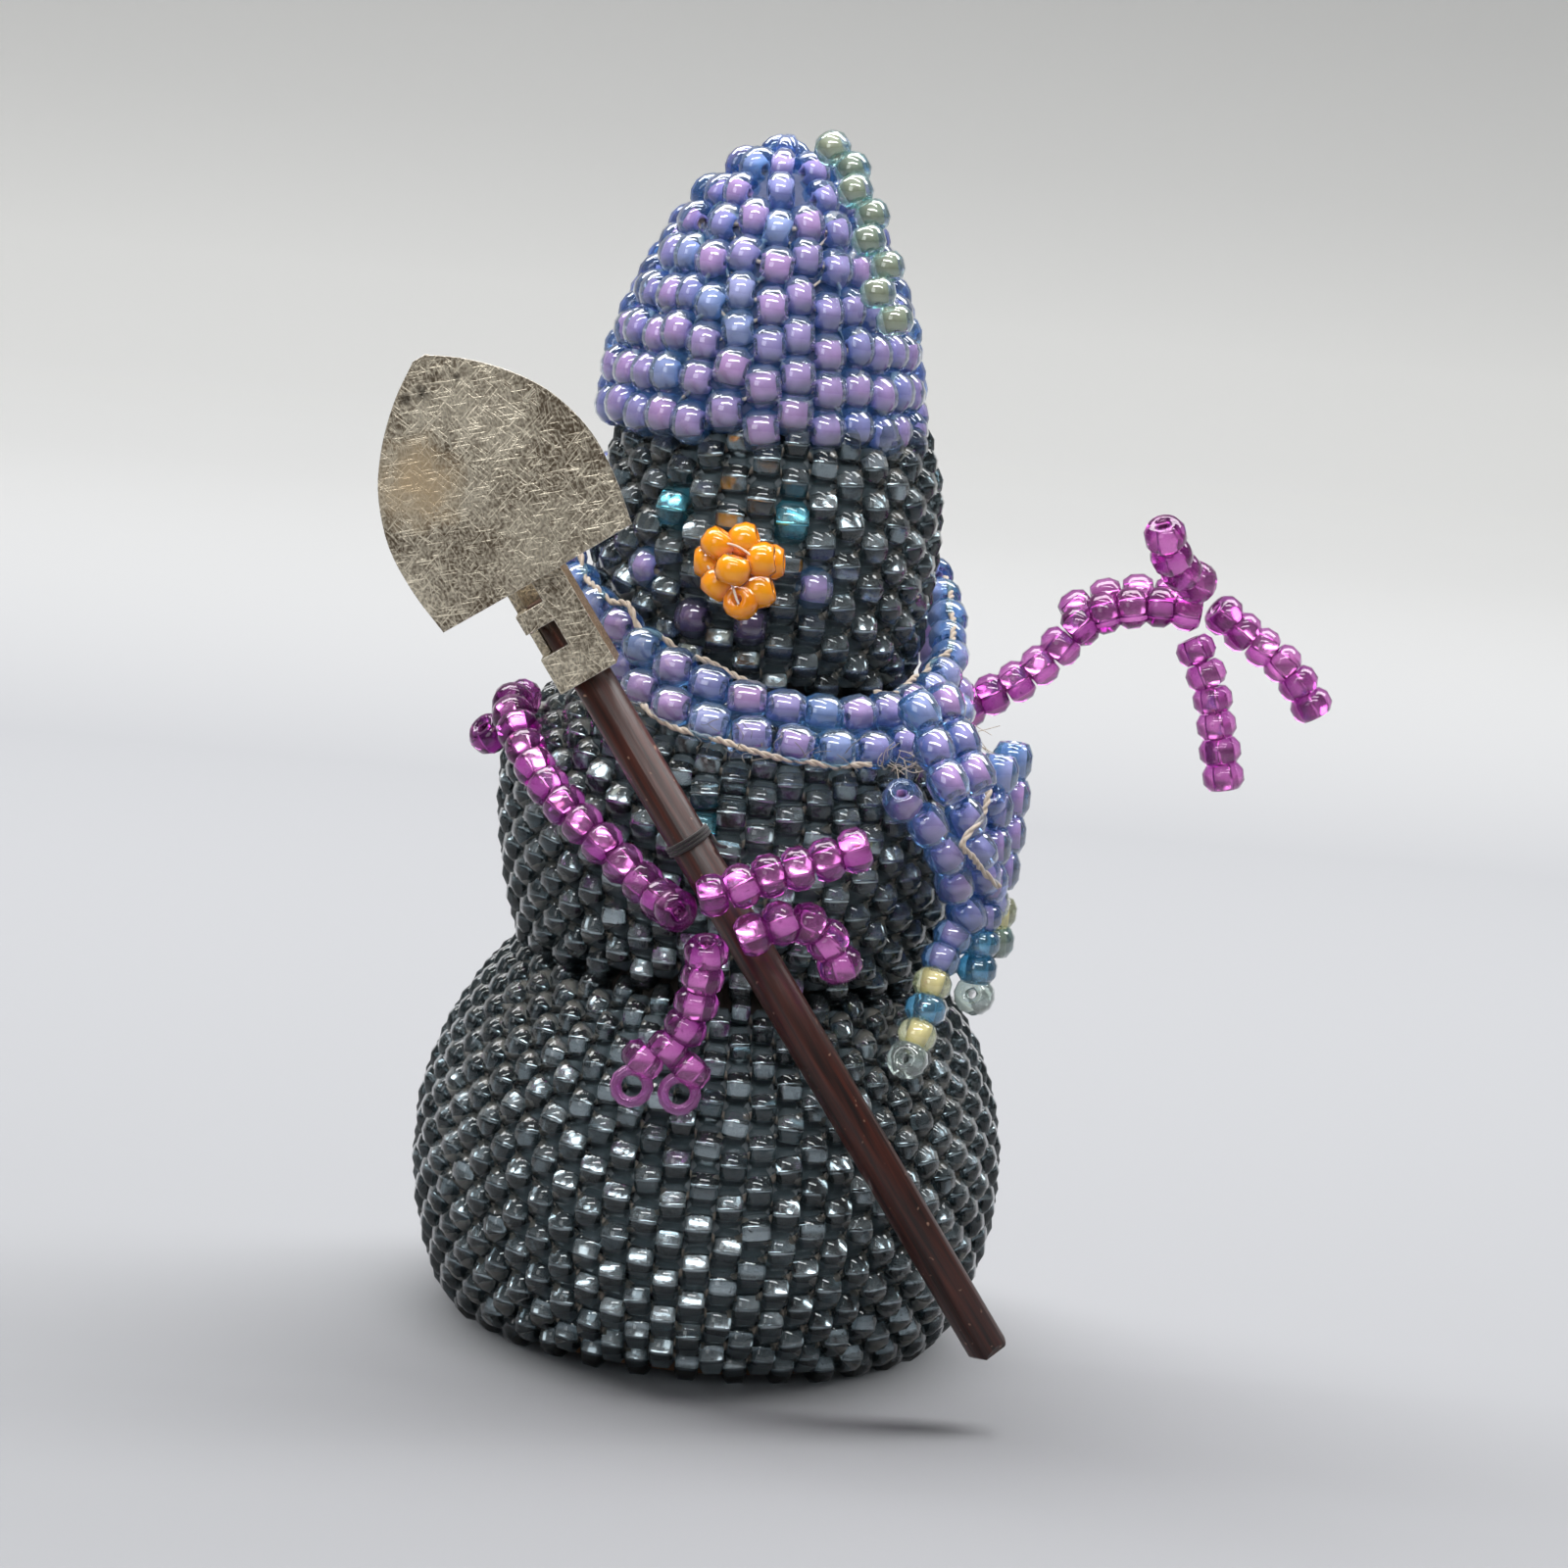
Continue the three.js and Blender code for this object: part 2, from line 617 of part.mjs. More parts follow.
function hangingRoute(start, rows) {
  const length = rows * SCARF_BEAD_DIAMETER;
  const rest = (height) => bodyRadius(height) + scarfLift;
  const end = start.y - length;
  const endRadius = Math.max(rest(end), rest(start.y - length / 2), rest(chestHeight));
  return new THREE.LineCurve(start, new THREE.Vector2(endRadius, end));
}

const knotEnd = knotStation(KNOT_ROWS).centre;
const frontTailTop = new THREE.Vector2(Math.hypot(knotEnd.x, knotEnd.y), knotEnd.z - 2 * CLEARANCE);
const frontTailRoute = hangingRoute(frontTailTop, FRONT_TAIL_ROWS);

const backSeat = scarfStation(BACK_TAIL_AZIMUTH);
const backEdge = backSeat.centre.clone().addScaledVector(backSeat.across, -SCARF_BEAD_LENGTH);
const backTailTop = new THREE.Vector2(Math.hypot(backEdge.x, backEdge.y), backEdge.z);
backTailTop.y -= CLEARANCE;
backTailTop.x = Math.max(backTailTop.x, CHEST_RADIUS + scarfLift);
const backTailRoute = hangingRoute(backTailTop, BACK_TAIL_ROWS);

// A fringe strand hangs from one bead of a tail's last row and rests against the body below,
// with its tip swayed to one side
function fringe(azimuth, route, column, length, sway = 0) {
  const end = route.getPoint(1);
  const top = end.y - CLEARANCE;
  const lift = FRINGE_BEAD_DIAMETER / 2 + CLEARANCE + SCARF_EASE;
  const radius = Math.max(end.x, bodyRadius(top - length) + lift);
  const sideways = along(azimuth).multiplyScalar(column * SCARF_BEAD_LENGTH);
  const start = around(azimuth, end.x, top).add(sideways);
  const tip = around(azimuth, radius, top - length).add(sideways).addScaledVector(along(azimuth), sway);
  return beadStrand([start, start.clone().lerp(tip, 0.5), tip], FRINGE_BEAD_DIAMETER, ARM_BEAD_LENGTH);
}

// Shovel place: the handle and its tie cross the front just clear of every ball of the body
const lean = radians(SHOVEL_LEAN);
const handleX = (height) => GRIP_X - (height - gripHeight) * Math.tan(lean);

function handleDepth() {
  const lowest = gripHeight - HANDLE_BELOW_GRIP * Math.cos(lean);
  const lift = HANDLE_DIAMETER / 2 + TIE_THREAD + 2 * CLEARANCE;
  const step = (neckHeight - lowest) / DEPTH_SAMPLES;
  const samples = Array.from({ length: DEPTH_SAMPLES }, (_, k) => lowest + step * k);
  const depths = samples.map((height) => {
    const reach = bodyRadius(height) + lift;
    return Math.sqrt(Math.max(reach ** 2 - handleX(height) ** 2, 0));
  });
  return Math.max(...depths);
}

const grip = vector(GRIP_X, -handleDepth(), gripHeight);
const socketInside = HANDLE_DIAMETER + 2 * CLEARANCE;
const socketOutside = socketInside + 2 * SHEET;

// Blade and socket stand on the handle's axis: local +Z runs up the handle, -Y faces forward
function bladeStation([share, breadth]) {
  const half = (BLADE_WIDTH / 2) * breadth;
  const front = -socketOutside / 2;
  const place = (across, depth) => vector(
    BLADE_OFFSET + share * BLADE_SKEW + across * half,
    front + depth - BLADE_DISH * (1 - across ** 2) * (1 - share),
    SOCKET_START + SOCKET_LENGTH - SHEET + share * BLADE_LENGTH,
  );
  const face = BLADE_COLUMNS.map((across) => place(across, 0));
  const back = BLADE_COLUMNS.map((across) => place(across, SHEET)).reverse();
  return [...face, ...back];
}

function shovelBlade() {
  const blade = solid(loft(BLADE_OUTLINE.map(bladeStation)));
  const middle = SOCKET_START + SOCKET_LENGTH / 2;
  const outside = new THREE.BoxGeometry(socketOutside, socketOutside, SOCKET_LENGTH);
  const inside = new THREE.BoxGeometry(socketInside, socketInside, 2 * SOCKET_LENGTH);
  let socket = solid(outside.translate(0, 0, middle));
  socket = socket.subtract(solid(inside.translate(0, 0, middle - SOCKET_LENGTH / 2 - SHEET)));
  const lowerWindow = SOCKET_START + SOCKET_BAND + SOCKET_WINDOW / 2;
  for (const height of [lowerWindow, lowerWindow + SOCKET_WINDOW + SOCKET_TAB]) {
    const window = new THREE.BoxGeometry(socketOutside, socketOutside, SOCKET_WINDOW);
    socket = socket.subtract(solid(window.translate(-socketOutside / 2, -socketOutside / 2, height)));
  }
  return surface(socket.add(blade));
}

function shovelHandle() {
  const radius = HANDLE_DIAMETER / 2;
  const profile = [
    new THREE.Vector2(0, -HANDLE_BELOW_GRIP),
    new THREE.Vector2(radius - CLEARANCE, -HANDLE_BELOW_GRIP),
    new THREE.Vector2(radius, CLEARANCE - HANDLE_BELOW_GRIP),
    new THREE.Vector2(radius, HANDLE_ABOVE_GRIP),
    new THREE.Vector2(0, HANDLE_ABOVE_GRIP),
  ];
  return turned(profile, HANDLE_SIDES);
}

function gripTie() {
  const radius = HANDLE_DIAMETER / 2 + CLEARANCE + TIE_THREAD / 2;
  return new THREE.TorusGeometry(radius, TIE_THREAD / 2, QUARTERS, HANDLE_SIDES)
    .translate(0, 0, TIE_ABOVE_GRIP);
}

// Right arm: from the shoulder round the chest, then forward beside the handle to the palm
const armLift = CLEARANCE + ARM_BEAD_DIAMETER / 2 + ARM_EASE;
const palmReach = HANDLE_DIAMETER / 2 + ARM_BEAD_DIAMETER / 2 + CLEARANCE;
const rightPalm = grip.clone().add(vector(-palmReach, -PALM_FORWARD, 0));

function rightArm() {
  const onChest = RIGHT_ARM_BENDS.map(([azimuth, drop]) => offTorso(azimuth, neckHeight - drop, armLift));
  const route = [
    rightShoulder(CLEARANCE),
    rightShoulder(CLEARANCE + ARM_BEAD_LENGTH / 2),
    ...onChest,
    rightPalm.clone().add(vector(...PALM_APPROACH)),
    rightPalm,
  ];
  return beadStrand(route, ARM_BEAD_DIAMETER, ARM_BEAD_LENGTH);
}

// Fingers of the right hand: [to the left arm, forward of a strand lying on the handle, up]
const RIGHT_FINGERS = [
  [[-1.6, 0.7, 1.1], [-0.8, 0.7, 1.3], [0.4, 0.5, 1.8], [1.6, 0.2, 2.5], [3.1, 0, 2.8],
    [4.5, -0.2, 3.5], [6.3, -0.4, 4.2]],
  [[0.5, 0.4, -0.8], [1.4, 0.4, -0.4], [2.5, 0.2, 0.4], [3.6, -0.2, 0.4],
    [4.6, -0.7, -0.4], [5.3, -1.2, -1.3], [5.7, -1.4, -2.5]],
  [[-1, 0.2, -1], [-0.9, -0.2, -2.1], [-1.1, -0.5, -3.5], [-1.3, -0.7, -5],
    [-2, -0.8, -6.2], [-2.7, -0.6, -7.2]],
];
const RIGHT_END_BEADS = [[-3.9, -0.6, -8.6], [-1.6, -0.8, -8.8]];

function onGrip([left, forward, up]) {
  const over = HANDLE_DIAMETER / 2 + CLEARANCE + ARM_BEAD_DIAMETER / 2;
  return grip.clone().add(vector(left, -over - forward, up));
}

function rightFinger(points) {
  return beadStrand(points.map(onGrip), ARM_BEAD_DIAMETER, ARM_BEAD_LENGTH);
}

// A round bead with its hole towards the front
function endBead(point) {
  const tube = (ARM_BEAD_DIAMETER - END_BEAD_HOLE) / 4;
  const ring = new THREE.TorusGeometry(tube + END_BEAD_HOLE / 2, tube, STRAND_SIDES, BEAD_SIDES);
  const centre = onGrip(point);
  return ring.rotateX(Math.PI / 2).translate(centre.x, centre.y, centre.z);
}

// Left arm: raised beside the head, with its fingers spread; points are from the shoulder
const LEFT_ARM = [[2.6, 0.2, 1.7], [4.1, 0.2, 3], [5.1, 0.2, 4.1], [5.9, 0.3, 5.4],
  [7.4, 0.4, 6.1], [9.2, 0.5, 6.5], [10.9, 0.6, 6.5], [12, 0.6, 6.4]];
const LEFT_FINGERS = [
  [[11.9, -0.5, 7.9], [11.2, -1.2, 8.2], [10.3, -2.4, 8.9], [9.6, -3.6, 9.9], [9.1, -4.5, 11.3]],
  [[12.7, 1, 6.7], [13.4, 1.2, 6.3], [14.4, 1.3, 5.4], [16, 1.2, 4.6], [17.4, 1.2, 3.3],
    [18.6, 1.2, 1.6]],
  [[11.6, 0.4, 5.1], [12.1, 0.3, 4.2], [12.9, 0.2, 2.7], [13.3, 0.2, 1.1], [13.7, 0.2, -0.4],
    [14.2, 0.2, -2.5]],
];

function fromLeftShoulder(point) {
  return leftShoulder(CLEARANCE).add(vector(...point));
}

function leftArm() {
  const root = [leftShoulder(CLEARANCE), leftShoulder(CLEARANCE + ARM_BEAD_LENGTH / 2)];
  const route = [...root, ...LEFT_ARM.map(fromLeftShoulder)];
  return beadStrand(route, ARM_BEAD_DIAMETER, ARM_BEAD_LENGTH);
}

function leftFinger(points) {
  return beadStrand(points.map(fromLeftShoulder), ARM_BEAD_DIAMETER, ARM_BEAD_LENGTH);
}

function piece(name, geometry, finish) {
  const mesh = new THREE.Mesh(weld(geometry), new THREE.MeshStandardMaterial(FINISHES[finish]));
  mesh.name = name;
  return mesh;
}

function assembly(...pieces) {
  const group = new THREE.Group();
  group.add(...pieces);
  return group;
}

const body = assembly(
  piece('wood_core', woodCore(), 'plainWood'),
  piece('base_pad', basePad(), 'leather'),
  piece('lower_beadwork', beadSkin(LOWER), 'greyGlass'),
  piece('torso_beadwork', torsoSkin(), 'greyGlass'),
  piece('head_beadwork', headSkin(), 'greyGlass'),
  piece('shoulder_wire', shoulderRod(WIRE_DIAMETER, 0), 'steelWire'),
  piece('button', weaveBead(buttonSite), 'tealGlass'),
  piece('carrot_nose', carrotNose(), 'orangeGlass'),
  ...Object.entries(faceSites).map(([name, site]) => {
    return piece(name, weaveBead(site), name.endsWith('eye') ? 'tealGlass' : 'purpleGlass');
  }),
);

const hat = assembly(
  piece('hat', hatCap(), 'blueLustre'),
  piece('hat_tassel', hatTassel(), 'greenLustre'),
);

const scarf = assembly(
  piece('scarf_wrap', scarfWrap(), 'blueLustre'),
  piece('scarf_knot', scarfKnot(), 'blueLustre'),
  piece('scarf_front_tail', beadBand(
    tailStations(FRONT_TAIL_AZIMUTH, frontTailRoute, FRONT_TAIL_ROWS), false), 'blueLustre'),
  piece('front_fringe', fringe(
    FRONT_TAIL_AZIMUTH, frontTailRoute, FRINGE_COLUMN, FRONT_FRINGE, FRONT_FRINGE_SWAY), 'tealGlass'),
  piece('scarf_back_tail', beadBand(
    tailStations(BACK_TAIL_AZIMUTH, backTailRoute, BACK_TAIL_ROWS), false), 'blueLustre'),
  piece('back_fringe_long', fringe(
    BACK_TAIL_AZIMUTH, backTailRoute, -FRINGE_COLUMN, BACK_FRINGE_LONG), 'tealGlass'),
  piece('back_fringe_short', fringe(
    BACK_TAIL_AZIMUTH, backTailRoute, FRINGE_COLUMN, BACK_FRINGE_SHORT), 'tealGlass'),
);

const rightHand = assembly(
  piece('right_arm', rightArm(), 'fuchsiaGlass'),
  ...RIGHT_FINGERS.map((points, k) => piece(`right_finger_${k + 1}`, rightFinger(points), 'fuchsiaGlass')),
  ...RIGHT_END_BEADS.map((point, k) => piece(`right_end_bead_${k + 1}`, endBead(point), 'fuchsiaGlass')),
);

const leftHand = assembly(
  piece('left_arm', leftArm(), 'fuchsiaGlass'),
  ...LEFT_FINGERS.map((points, k) => piece(`left_finger_${k + 1}`, leftFinger(points), 'fuchsiaGlass')),
);

const shovel = assembly(
  piece('shovel_blade', shovelBlade(), 'pewter'),
  piece('shovel_handle', shovelHandle(), 'stainedWood'),
  piece('grip_tie', gripTie(), 'darkThread'),
);
shovel.position.copy(grip);
shovel.rotation.y = -lean;

export default assembly(body, hat, scarf, rightHand, leftHand, shovel);
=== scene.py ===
"""Bead-by-bead looks of the beaded snowman figure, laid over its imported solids.

Sizes are in millimetres and become metres where a mesh is placed. Azimuths are in degrees from
the front, growing towards the figure's left arm (+X), as in the solids.
"""

import logging
import math
import random
from dataclasses import dataclass, field
from enum import Enum, IntEnum
from functools import cached_property
from typing import ClassVar, Iterable, Sequence

import bmesh
import bpy
import numpy as np
from bmesh.types import BMEdge, BMesh, BMVert
from bpy.types import Material, Mesh, NodeSocket, Object, ShaderNode
from mathutils import Matrix, Vector


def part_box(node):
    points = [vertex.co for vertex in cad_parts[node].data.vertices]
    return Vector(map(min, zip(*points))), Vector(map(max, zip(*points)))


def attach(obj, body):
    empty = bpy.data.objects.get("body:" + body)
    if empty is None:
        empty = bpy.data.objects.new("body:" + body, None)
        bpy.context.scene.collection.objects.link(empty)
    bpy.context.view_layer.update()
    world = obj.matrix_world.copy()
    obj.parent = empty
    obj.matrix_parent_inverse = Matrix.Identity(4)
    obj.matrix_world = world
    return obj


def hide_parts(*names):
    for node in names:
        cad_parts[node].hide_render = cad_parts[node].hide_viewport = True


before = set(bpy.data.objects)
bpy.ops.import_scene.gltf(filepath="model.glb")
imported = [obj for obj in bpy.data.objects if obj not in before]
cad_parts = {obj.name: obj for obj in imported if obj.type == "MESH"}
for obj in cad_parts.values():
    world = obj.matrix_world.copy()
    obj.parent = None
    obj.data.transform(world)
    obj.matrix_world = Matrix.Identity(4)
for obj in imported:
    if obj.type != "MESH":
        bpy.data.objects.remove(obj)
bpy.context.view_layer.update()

Pair = tuple[float, float]
Triple = tuple[float, float, float]

LOG = logging.getLogger("snowman")
MM = 0.001
TONE = "tone"
UP = Vector((0.0, 0.0, 1.0))
ORIGIN = (0.0, 0.0, 0.0)
# A face whose normal has this share along an axis faces along it.
FACING = 0.99
# Noise stays between these over nearly all of a surface.
NOISE_SPAN = (0.3, 0.7)
# Sockets of a Mix node that mixes colours: the share, both colours, and the result.
SHARE, UNDER, OVER, MIXED = 0, 6, 7, 2


def linear(colour: str) -> tuple[float, float, float, float]:
    """Turns an sRGB hex colour into linear red, green, blue and alpha.

    Args:
        colour: Six hex digits after a hash.

    Returns:
        The linear colour with an alpha of 1.
    """
    parts = [int(colour[k:k + 2], 16) / 255 for k in (1, 3, 5)]
    red, green, blue = (c / 12.92 if c <= 0.04045 else ((c + 0.055) / 1.055) ** 2.4 for c in parts)
    return red, green, blue, 1.0


def per_mm(size: float) -> float:
    """Gives the texture scale at which one cell of a pattern is this many millimetres."""
    return 1 / (size * MM)


def add_node(
    owner: bpy.types.ID, kind: str, inputs: dict | Sequence = (), **settings: object,
) -> ShaderNode:
    """Adds one shader node with its settings, values and links.

    Args:
        owner: The material or world whose node tree grows.
        kind: The node's type name.
        inputs: A value, or another node's output, for each input by name or number, or in order.
        settings: The node's own properties.

    Returns:
        The new node.
    """
    tree = owner.node_tree
    node = tree.nodes.new(kind)
    for name, value in settings.items():
        setattr(node, name, value)
    named = inputs if isinstance(inputs, dict) else dict(enumerate(inputs))
    for name, value in named.items():
        if isinstance(value, NodeSocket):
            tree.links.new(value, node.inputs[name])
        else:
            node.inputs[name].default_value = value
    return node


def around(azimuth: float, radius: float, height: float) -> Vector:
    """Gives the point at an azimuth, a distance from the figure's axis and a height."""
    angle = math.radians(azimuth)
    return Vector((radius * math.sin(angle), -radius * math.cos(angle), height))


def along(azimuth: float) -> Vector:
    """Gives the level direction that grows with azimuth."""
    return around(azimuth + 90, 1, 0)


@dataclass(frozen=True)
class Finish:
    """A named surface of the object; each kind below lays its own nodes."""

    name: str

    def material(self) -> Material:
        """Gives the finish's material, made on first use."""
        found = bpy.data.materials.get(self.name)
        if found:
            return found
        made = bpy.data.materials.new(self.name)
        made.use_nodes = True
        made.node_tree.nodes.clear()
        shader = self.surface(made)
        add_node(made, "ShaderNodeOutputMaterial", {"Surface": shader.outputs["BSDF"]})
        return made

    def surface(self, material: Material) -> ShaderNode:
        """Lays the finish's nodes.

        Args:
            material: The material to fill.

        Returns:
            The shader node that the surface shows.
        """
        raise NotImplementedError

    def tone_mix(self, material: Material, deep: str, light: str, span: Pair = (0, 1)) -> NodeSocket:
        """Mixes two colours by each bead's own tone.

        Args:
            material: The material to fill.
            deep: Hex colour at the low tone.
            light: Hex colour at the high tone.
            span: The low and the high tone.

        Returns:
            The mixed colour's socket.
        """
        tone = add_node(material, "ShaderNodeAttribute", attribute_name=TONE)
        share = add_node(material, "ShaderNodeMapRange", [tone.outputs["Fac"], *span]).outputs[0]
        colours = {SHARE: share, UNDER: linear(deep), OVER: linear(light)}
        return add_node(material, "ShaderNodeMix", colours, data_type="RGBA").outputs[MIXED]

    def grain(
        self, material: Material, size: float, stretch: Sequence[float] = (1, 1, 1),
        detail: float = 3.0, turn: float = 0.0,
    ) -> NodeSocket:
        """Adds noise with cells of a real size.

        Args:
            material: The material to fill.
            size: Width of a cell in millimetres.
            stretch: How much finer the noise is along each axis.
            detail: Octaves of finer noise.
            turn: Lean of the noise about Y, in radians.

        Returns:
            The noise value's socket.
        """
        place = add_node(material, "ShaderNodeTexCoord").outputs["Object"]
        mapping = add_node(material, "ShaderNodeMapping", {
            "Vector": place, "Rotation": (0, turn, 0)})
        squeezed = add_node(material, "ShaderNodeMapping", {
            "Vector": mapping.outputs["Vector"], "Scale": tuple(stretch)})
        return add_node(material, "ShaderNodeTexNoise", {
            "Vector": squeezed.outputs["Vector"], "Scale": per_mm(size), "Detail": detail,
        }).outputs["Fac"]


@dataclass(frozen=True)
class SeedGlass(Finish):
    """Fire-polished seed-bead glass: its tint shows over the lining, under a sharp highlight."""

    deep: str
    light: str
    lustre: float = 0.0
    clarity: float = 0.86
    roughness: float = 0.03
    ior: float = 1.52
    lustre_ior: float = 2.1
    rim: Pair = (0.35, 0.95)

    def surface(self, material: Material) -> ShaderNode:
        """Lays clear tinted glass, with a bright metallic-oxide coat where it has a lustre."""
        return add_node(material, "ShaderNodeBsdfPrincipled", {
            "Base Color": self.tone_mix(material, self.deep, self.light, self.rim),
            "Roughness": self.roughness,
            "IOR": self.ior,
            "Transmission Weight": self.clarity,
            "Coat Weight": self.lustre,
            "Coat IOR": self.lustre_ior,
            "Coat Roughness": self.roughness,
        })


@dataclass(frozen=True)
class SilverLining(Finish):
    """Silvered bore of a bead: a bright mirror with fine specks where the silver is thin."""

    deep: str
    light: str
    speck: float = 0.16
    dull: str = "#5f6466"
    thin: Pair = (0.62, 0.72)
    wear: Pair = (0.0, 0.7)
    roughness: Pair = (0.1, 0.22)

    def surface(self, material: Material) -> ShaderNode:
        """Lays speckled mirror silver."""
        specks = self.grain(material, self.speck)
        worn = add_node(material, "ShaderNodeMapRange", [specks, *self.thin, *self.wear]).outputs[0]
        silver = add_node(material, "ShaderNodeMix", {
            SHARE: worn, UNDER: self.tone_mix(material, self.deep, self.light),
            OVER: linear(self.dull)}, data_type="RGBA").outputs[MIXED]
        rough = add_node(material, "ShaderNodeMapRange", [
            specks, *NOISE_SPAN, *self.roughness]).outputs[0]
        return add_node(material, "ShaderNodeBsdfPrincipled", {
            "Base Color": silver, "Metallic": 1.0, "Roughness": rough})


@dataclass(frozen=True)
class ColourLining(Finish):
    """Opaque paint in a bead's bore, which gives the bead a soft coloured middle."""

    deep: str
    light: str
    roughness: float = 0.45
    cloud: float = 0.5
    mottle: Pair = (0.82, 1.0)

    def surface(self, material: Material) -> ShaderNode:
        """Lays matt paint that is a little cloudy."""
        clouds = self.grain(material, self.cloud)
        mottle = add_node(material, "ShaderNodeMapRange", [
            clouds, *NOISE_SPAN, *self.mottle]).outputs[0]
        paint = add_node(material, "ShaderNodeVectorMath", [
            self.tone_mix(material, self.deep, self.light), mottle], operation="MULTIPLY").outputs[0]
        return add_node(material, "ShaderNodeBsdfPrincipled", {
            "Base Color": paint, "Roughness": self.roughness})


@dataclass(frozen=True)
class OpaqueGlass(Finish):
    """Solid-coloured pressed glass: an even deep colour under a wet gloss."""

    deep: str
    light: str
    roughness: float = 0.12
    glow: float = 0.15
    glow_radius: Triple = (1.0, 0.5, 0.1)
    glow_depth: float = 0.3
    gloss: float = 0.6
    gloss_roughness: float = 0.05

    def surface(self, material: Material) -> ShaderNode:
        """Lays opaque glass that glows slightly under its surface."""
        return add_node(material, "ShaderNodeBsdfPrincipled", {
            "Base Color": self.tone_mix(material, self.deep, self.light),
            "Roughness": self.roughness,
            "Subsurface Weight": self.glow,
            "Subsurface Radius": self.glow_radius,
            "Subsurface Scale": self.glow_depth * MM,
            "Coat Weight": self.gloss,
            "Coat Roughness": self.gloss_roughness,
        })


@dataclass(frozen=True)
class SpunThread(Finish):
    """Twisted nylon and cotton beading thread: matt, with lighter and darker plies."""

    deep: str
    light: str
    ply: float = 0.25
    roughness: float = 0.85
    fuzz: float = 0.3

    def surface(self, material: Material) -> ShaderNode:
        """Lays matt thread, streaked by its twist."""
        plies = self.grain(material, self.ply)
        colour = add_node(material, "ShaderNodeMix", {
            SHARE: plies, UNDER: linear(self.deep), OVER: linear(self.light)},
            data_type="RGBA").outputs[MIXED]
        return add_node(material, "ShaderNodeBsdfPrincipled", {
            "Base Color": colour, "Roughness": self.roughness, "Sheen Weight": self.fuzz})


@dataclass(frozen=True)
class Pewter(Finish):
    """Hand-cut tin alloy sheet: warm grey, finely scratched both ways, with dark pits and painted
    highlights.
    """

    dark: str = "#6b5f50"
    bright: str = "#f6ebd4"
    pits_and_highlights: tuple[tuple[Triple, float, str], ...] = ()
    scratches: tuple[float, ...] = (-0.62, 0.3, 1.0, -1.3, 0.65)
    cloud: float = 4.0
    cloud_span: Pair = (0.36, 0.66)
    cloud_tone: Pair = (0.05, 0.64)
    speck: float = 0.14
    speck_span: Pair = (0.36, 0.7)
    speck_tone: Pair = (-0.2, 0.42)
    scratch: float = 0.5
    scratch_stretch: Triple = (9, 1, 0.5)
    scratch_span: Pair = (0.67, 0.82)
    scratch_tone: Pair = (0.0, 0.8)
    scratch_depth: float = 0.05
    scratch_strength: float = 0.35
    roughness: Pair = (0.5, 0.36)
    spot_span: Pair = (0.7, 1.6)
    spot_tone: Pair = (0.8, 0.0)

    def surface(self, material: Material) -> ShaderNode:
        """Lays scratched metal; the scratches are drawn coarser than real ones, so that they show."""
        clouds = self.grain(material, self.cloud, detail=4.0)
        specks = self.grain(material, self.speck, detail=1.0)
        grain = add_node(material, "ShaderNodeMapRange", [
            specks, *self.speck_span, *self.speck_tone]).outputs[0]
        scratch = 0.0
        for turn in self.scratches:
            lines = self.grain(material, self.scratch, self.scratch_stretch, 0.0, turn)
            sparse = add_node(material, "ShaderNodeMapRange", [
                lines, *self.scratch_span, *self.scratch_tone]).outputs[0]
            scratch = add_node(
                material, "ShaderNodeMath", [scratch, sparse], operation="MAXIMUM").outputs[0]
        lit = add_node(material, "ShaderNodeMapRange", [
            clouds, *self.cloud_span, *self.cloud_tone]).outputs[0]
        worn = add_node(material, "ShaderNodeMath", [lit, grain], operation="ADD").outputs[0]
        streak = add_node(
            material, "ShaderNodeMath", [worn, scratch], operation="ADD", use_clamp=True).outputs[0]
        metal = add_node(material, "ShaderNodeMix", {
            SHARE: streak, UNDER: linear(self.dark), OVER: linear(self.bright)},
            data_type="RGBA").outputs[MIXED]
        # Each spot is a dark pit or a painted highlight.
        for place, size, colour in self.pits_and_highlights:
            metal = self.spot(material, metal, place, size, colour)
        rough = add_node(
            material, "ShaderNodeMapRange", [streak, 0, 1, *self.roughness]).outputs[0]
        bump = add_node(material, "ShaderNodeBump", {
            "Height": scratch, "Strength": self.scratch_strength,
            "Distance": self.scratch_depth * MM})
        return add_node(material, "ShaderNodeBsdfPrincipled", {
            "Base Color": metal, "Metallic": 1.0, "Roughness": rough,
            "Normal": bump.outputs["Normal"]})

    def spot(
        self, material: Material, under: NodeSocket, place: Triple, size: float, colour: str,
    ) -> NodeSocket:
        """Stains the metal round a place for a pit, or paints a highlight there.

        Args:
            material: The material to fill.
            under: The colour below the spot.
            place: The spot's middle in metres.
            size: The spot's radius in millimetres.
            colour: The spot's hex colour.

        Returns:
            The spotted colour's socket.
        """
        here = add_node(material, "ShaderNodeTexCoord").outputs["Object"]
        flat = add_node(
            material, "ShaderNodeVectorMath", [here, (1, 0, 1)], operation="MULTIPLY").outputs[0]
        far = add_node(material, "ShaderNodeVectorMath", [
            flat, (place[0], 0, place[2])], operation="DISTANCE").outputs["Value"]
        ragged = add_node(material, "ShaderNodeMath", [
            self.grain(material, size / 2), size * MM, far], operation="MULTIPLY_ADD").outputs[0]
        edges = [share * size * MM for share in self.spot_span]
        share = add_node(
            material, "ShaderNodeMapRange", [ragged, *edges, *self.spot_tone]).outputs[0]
        return add_node(material, "ShaderNodeMix", {
            SHARE: share, UNDER: under, OVER: linear(colour)}, data_type="RGBA").outputs[MIXED]


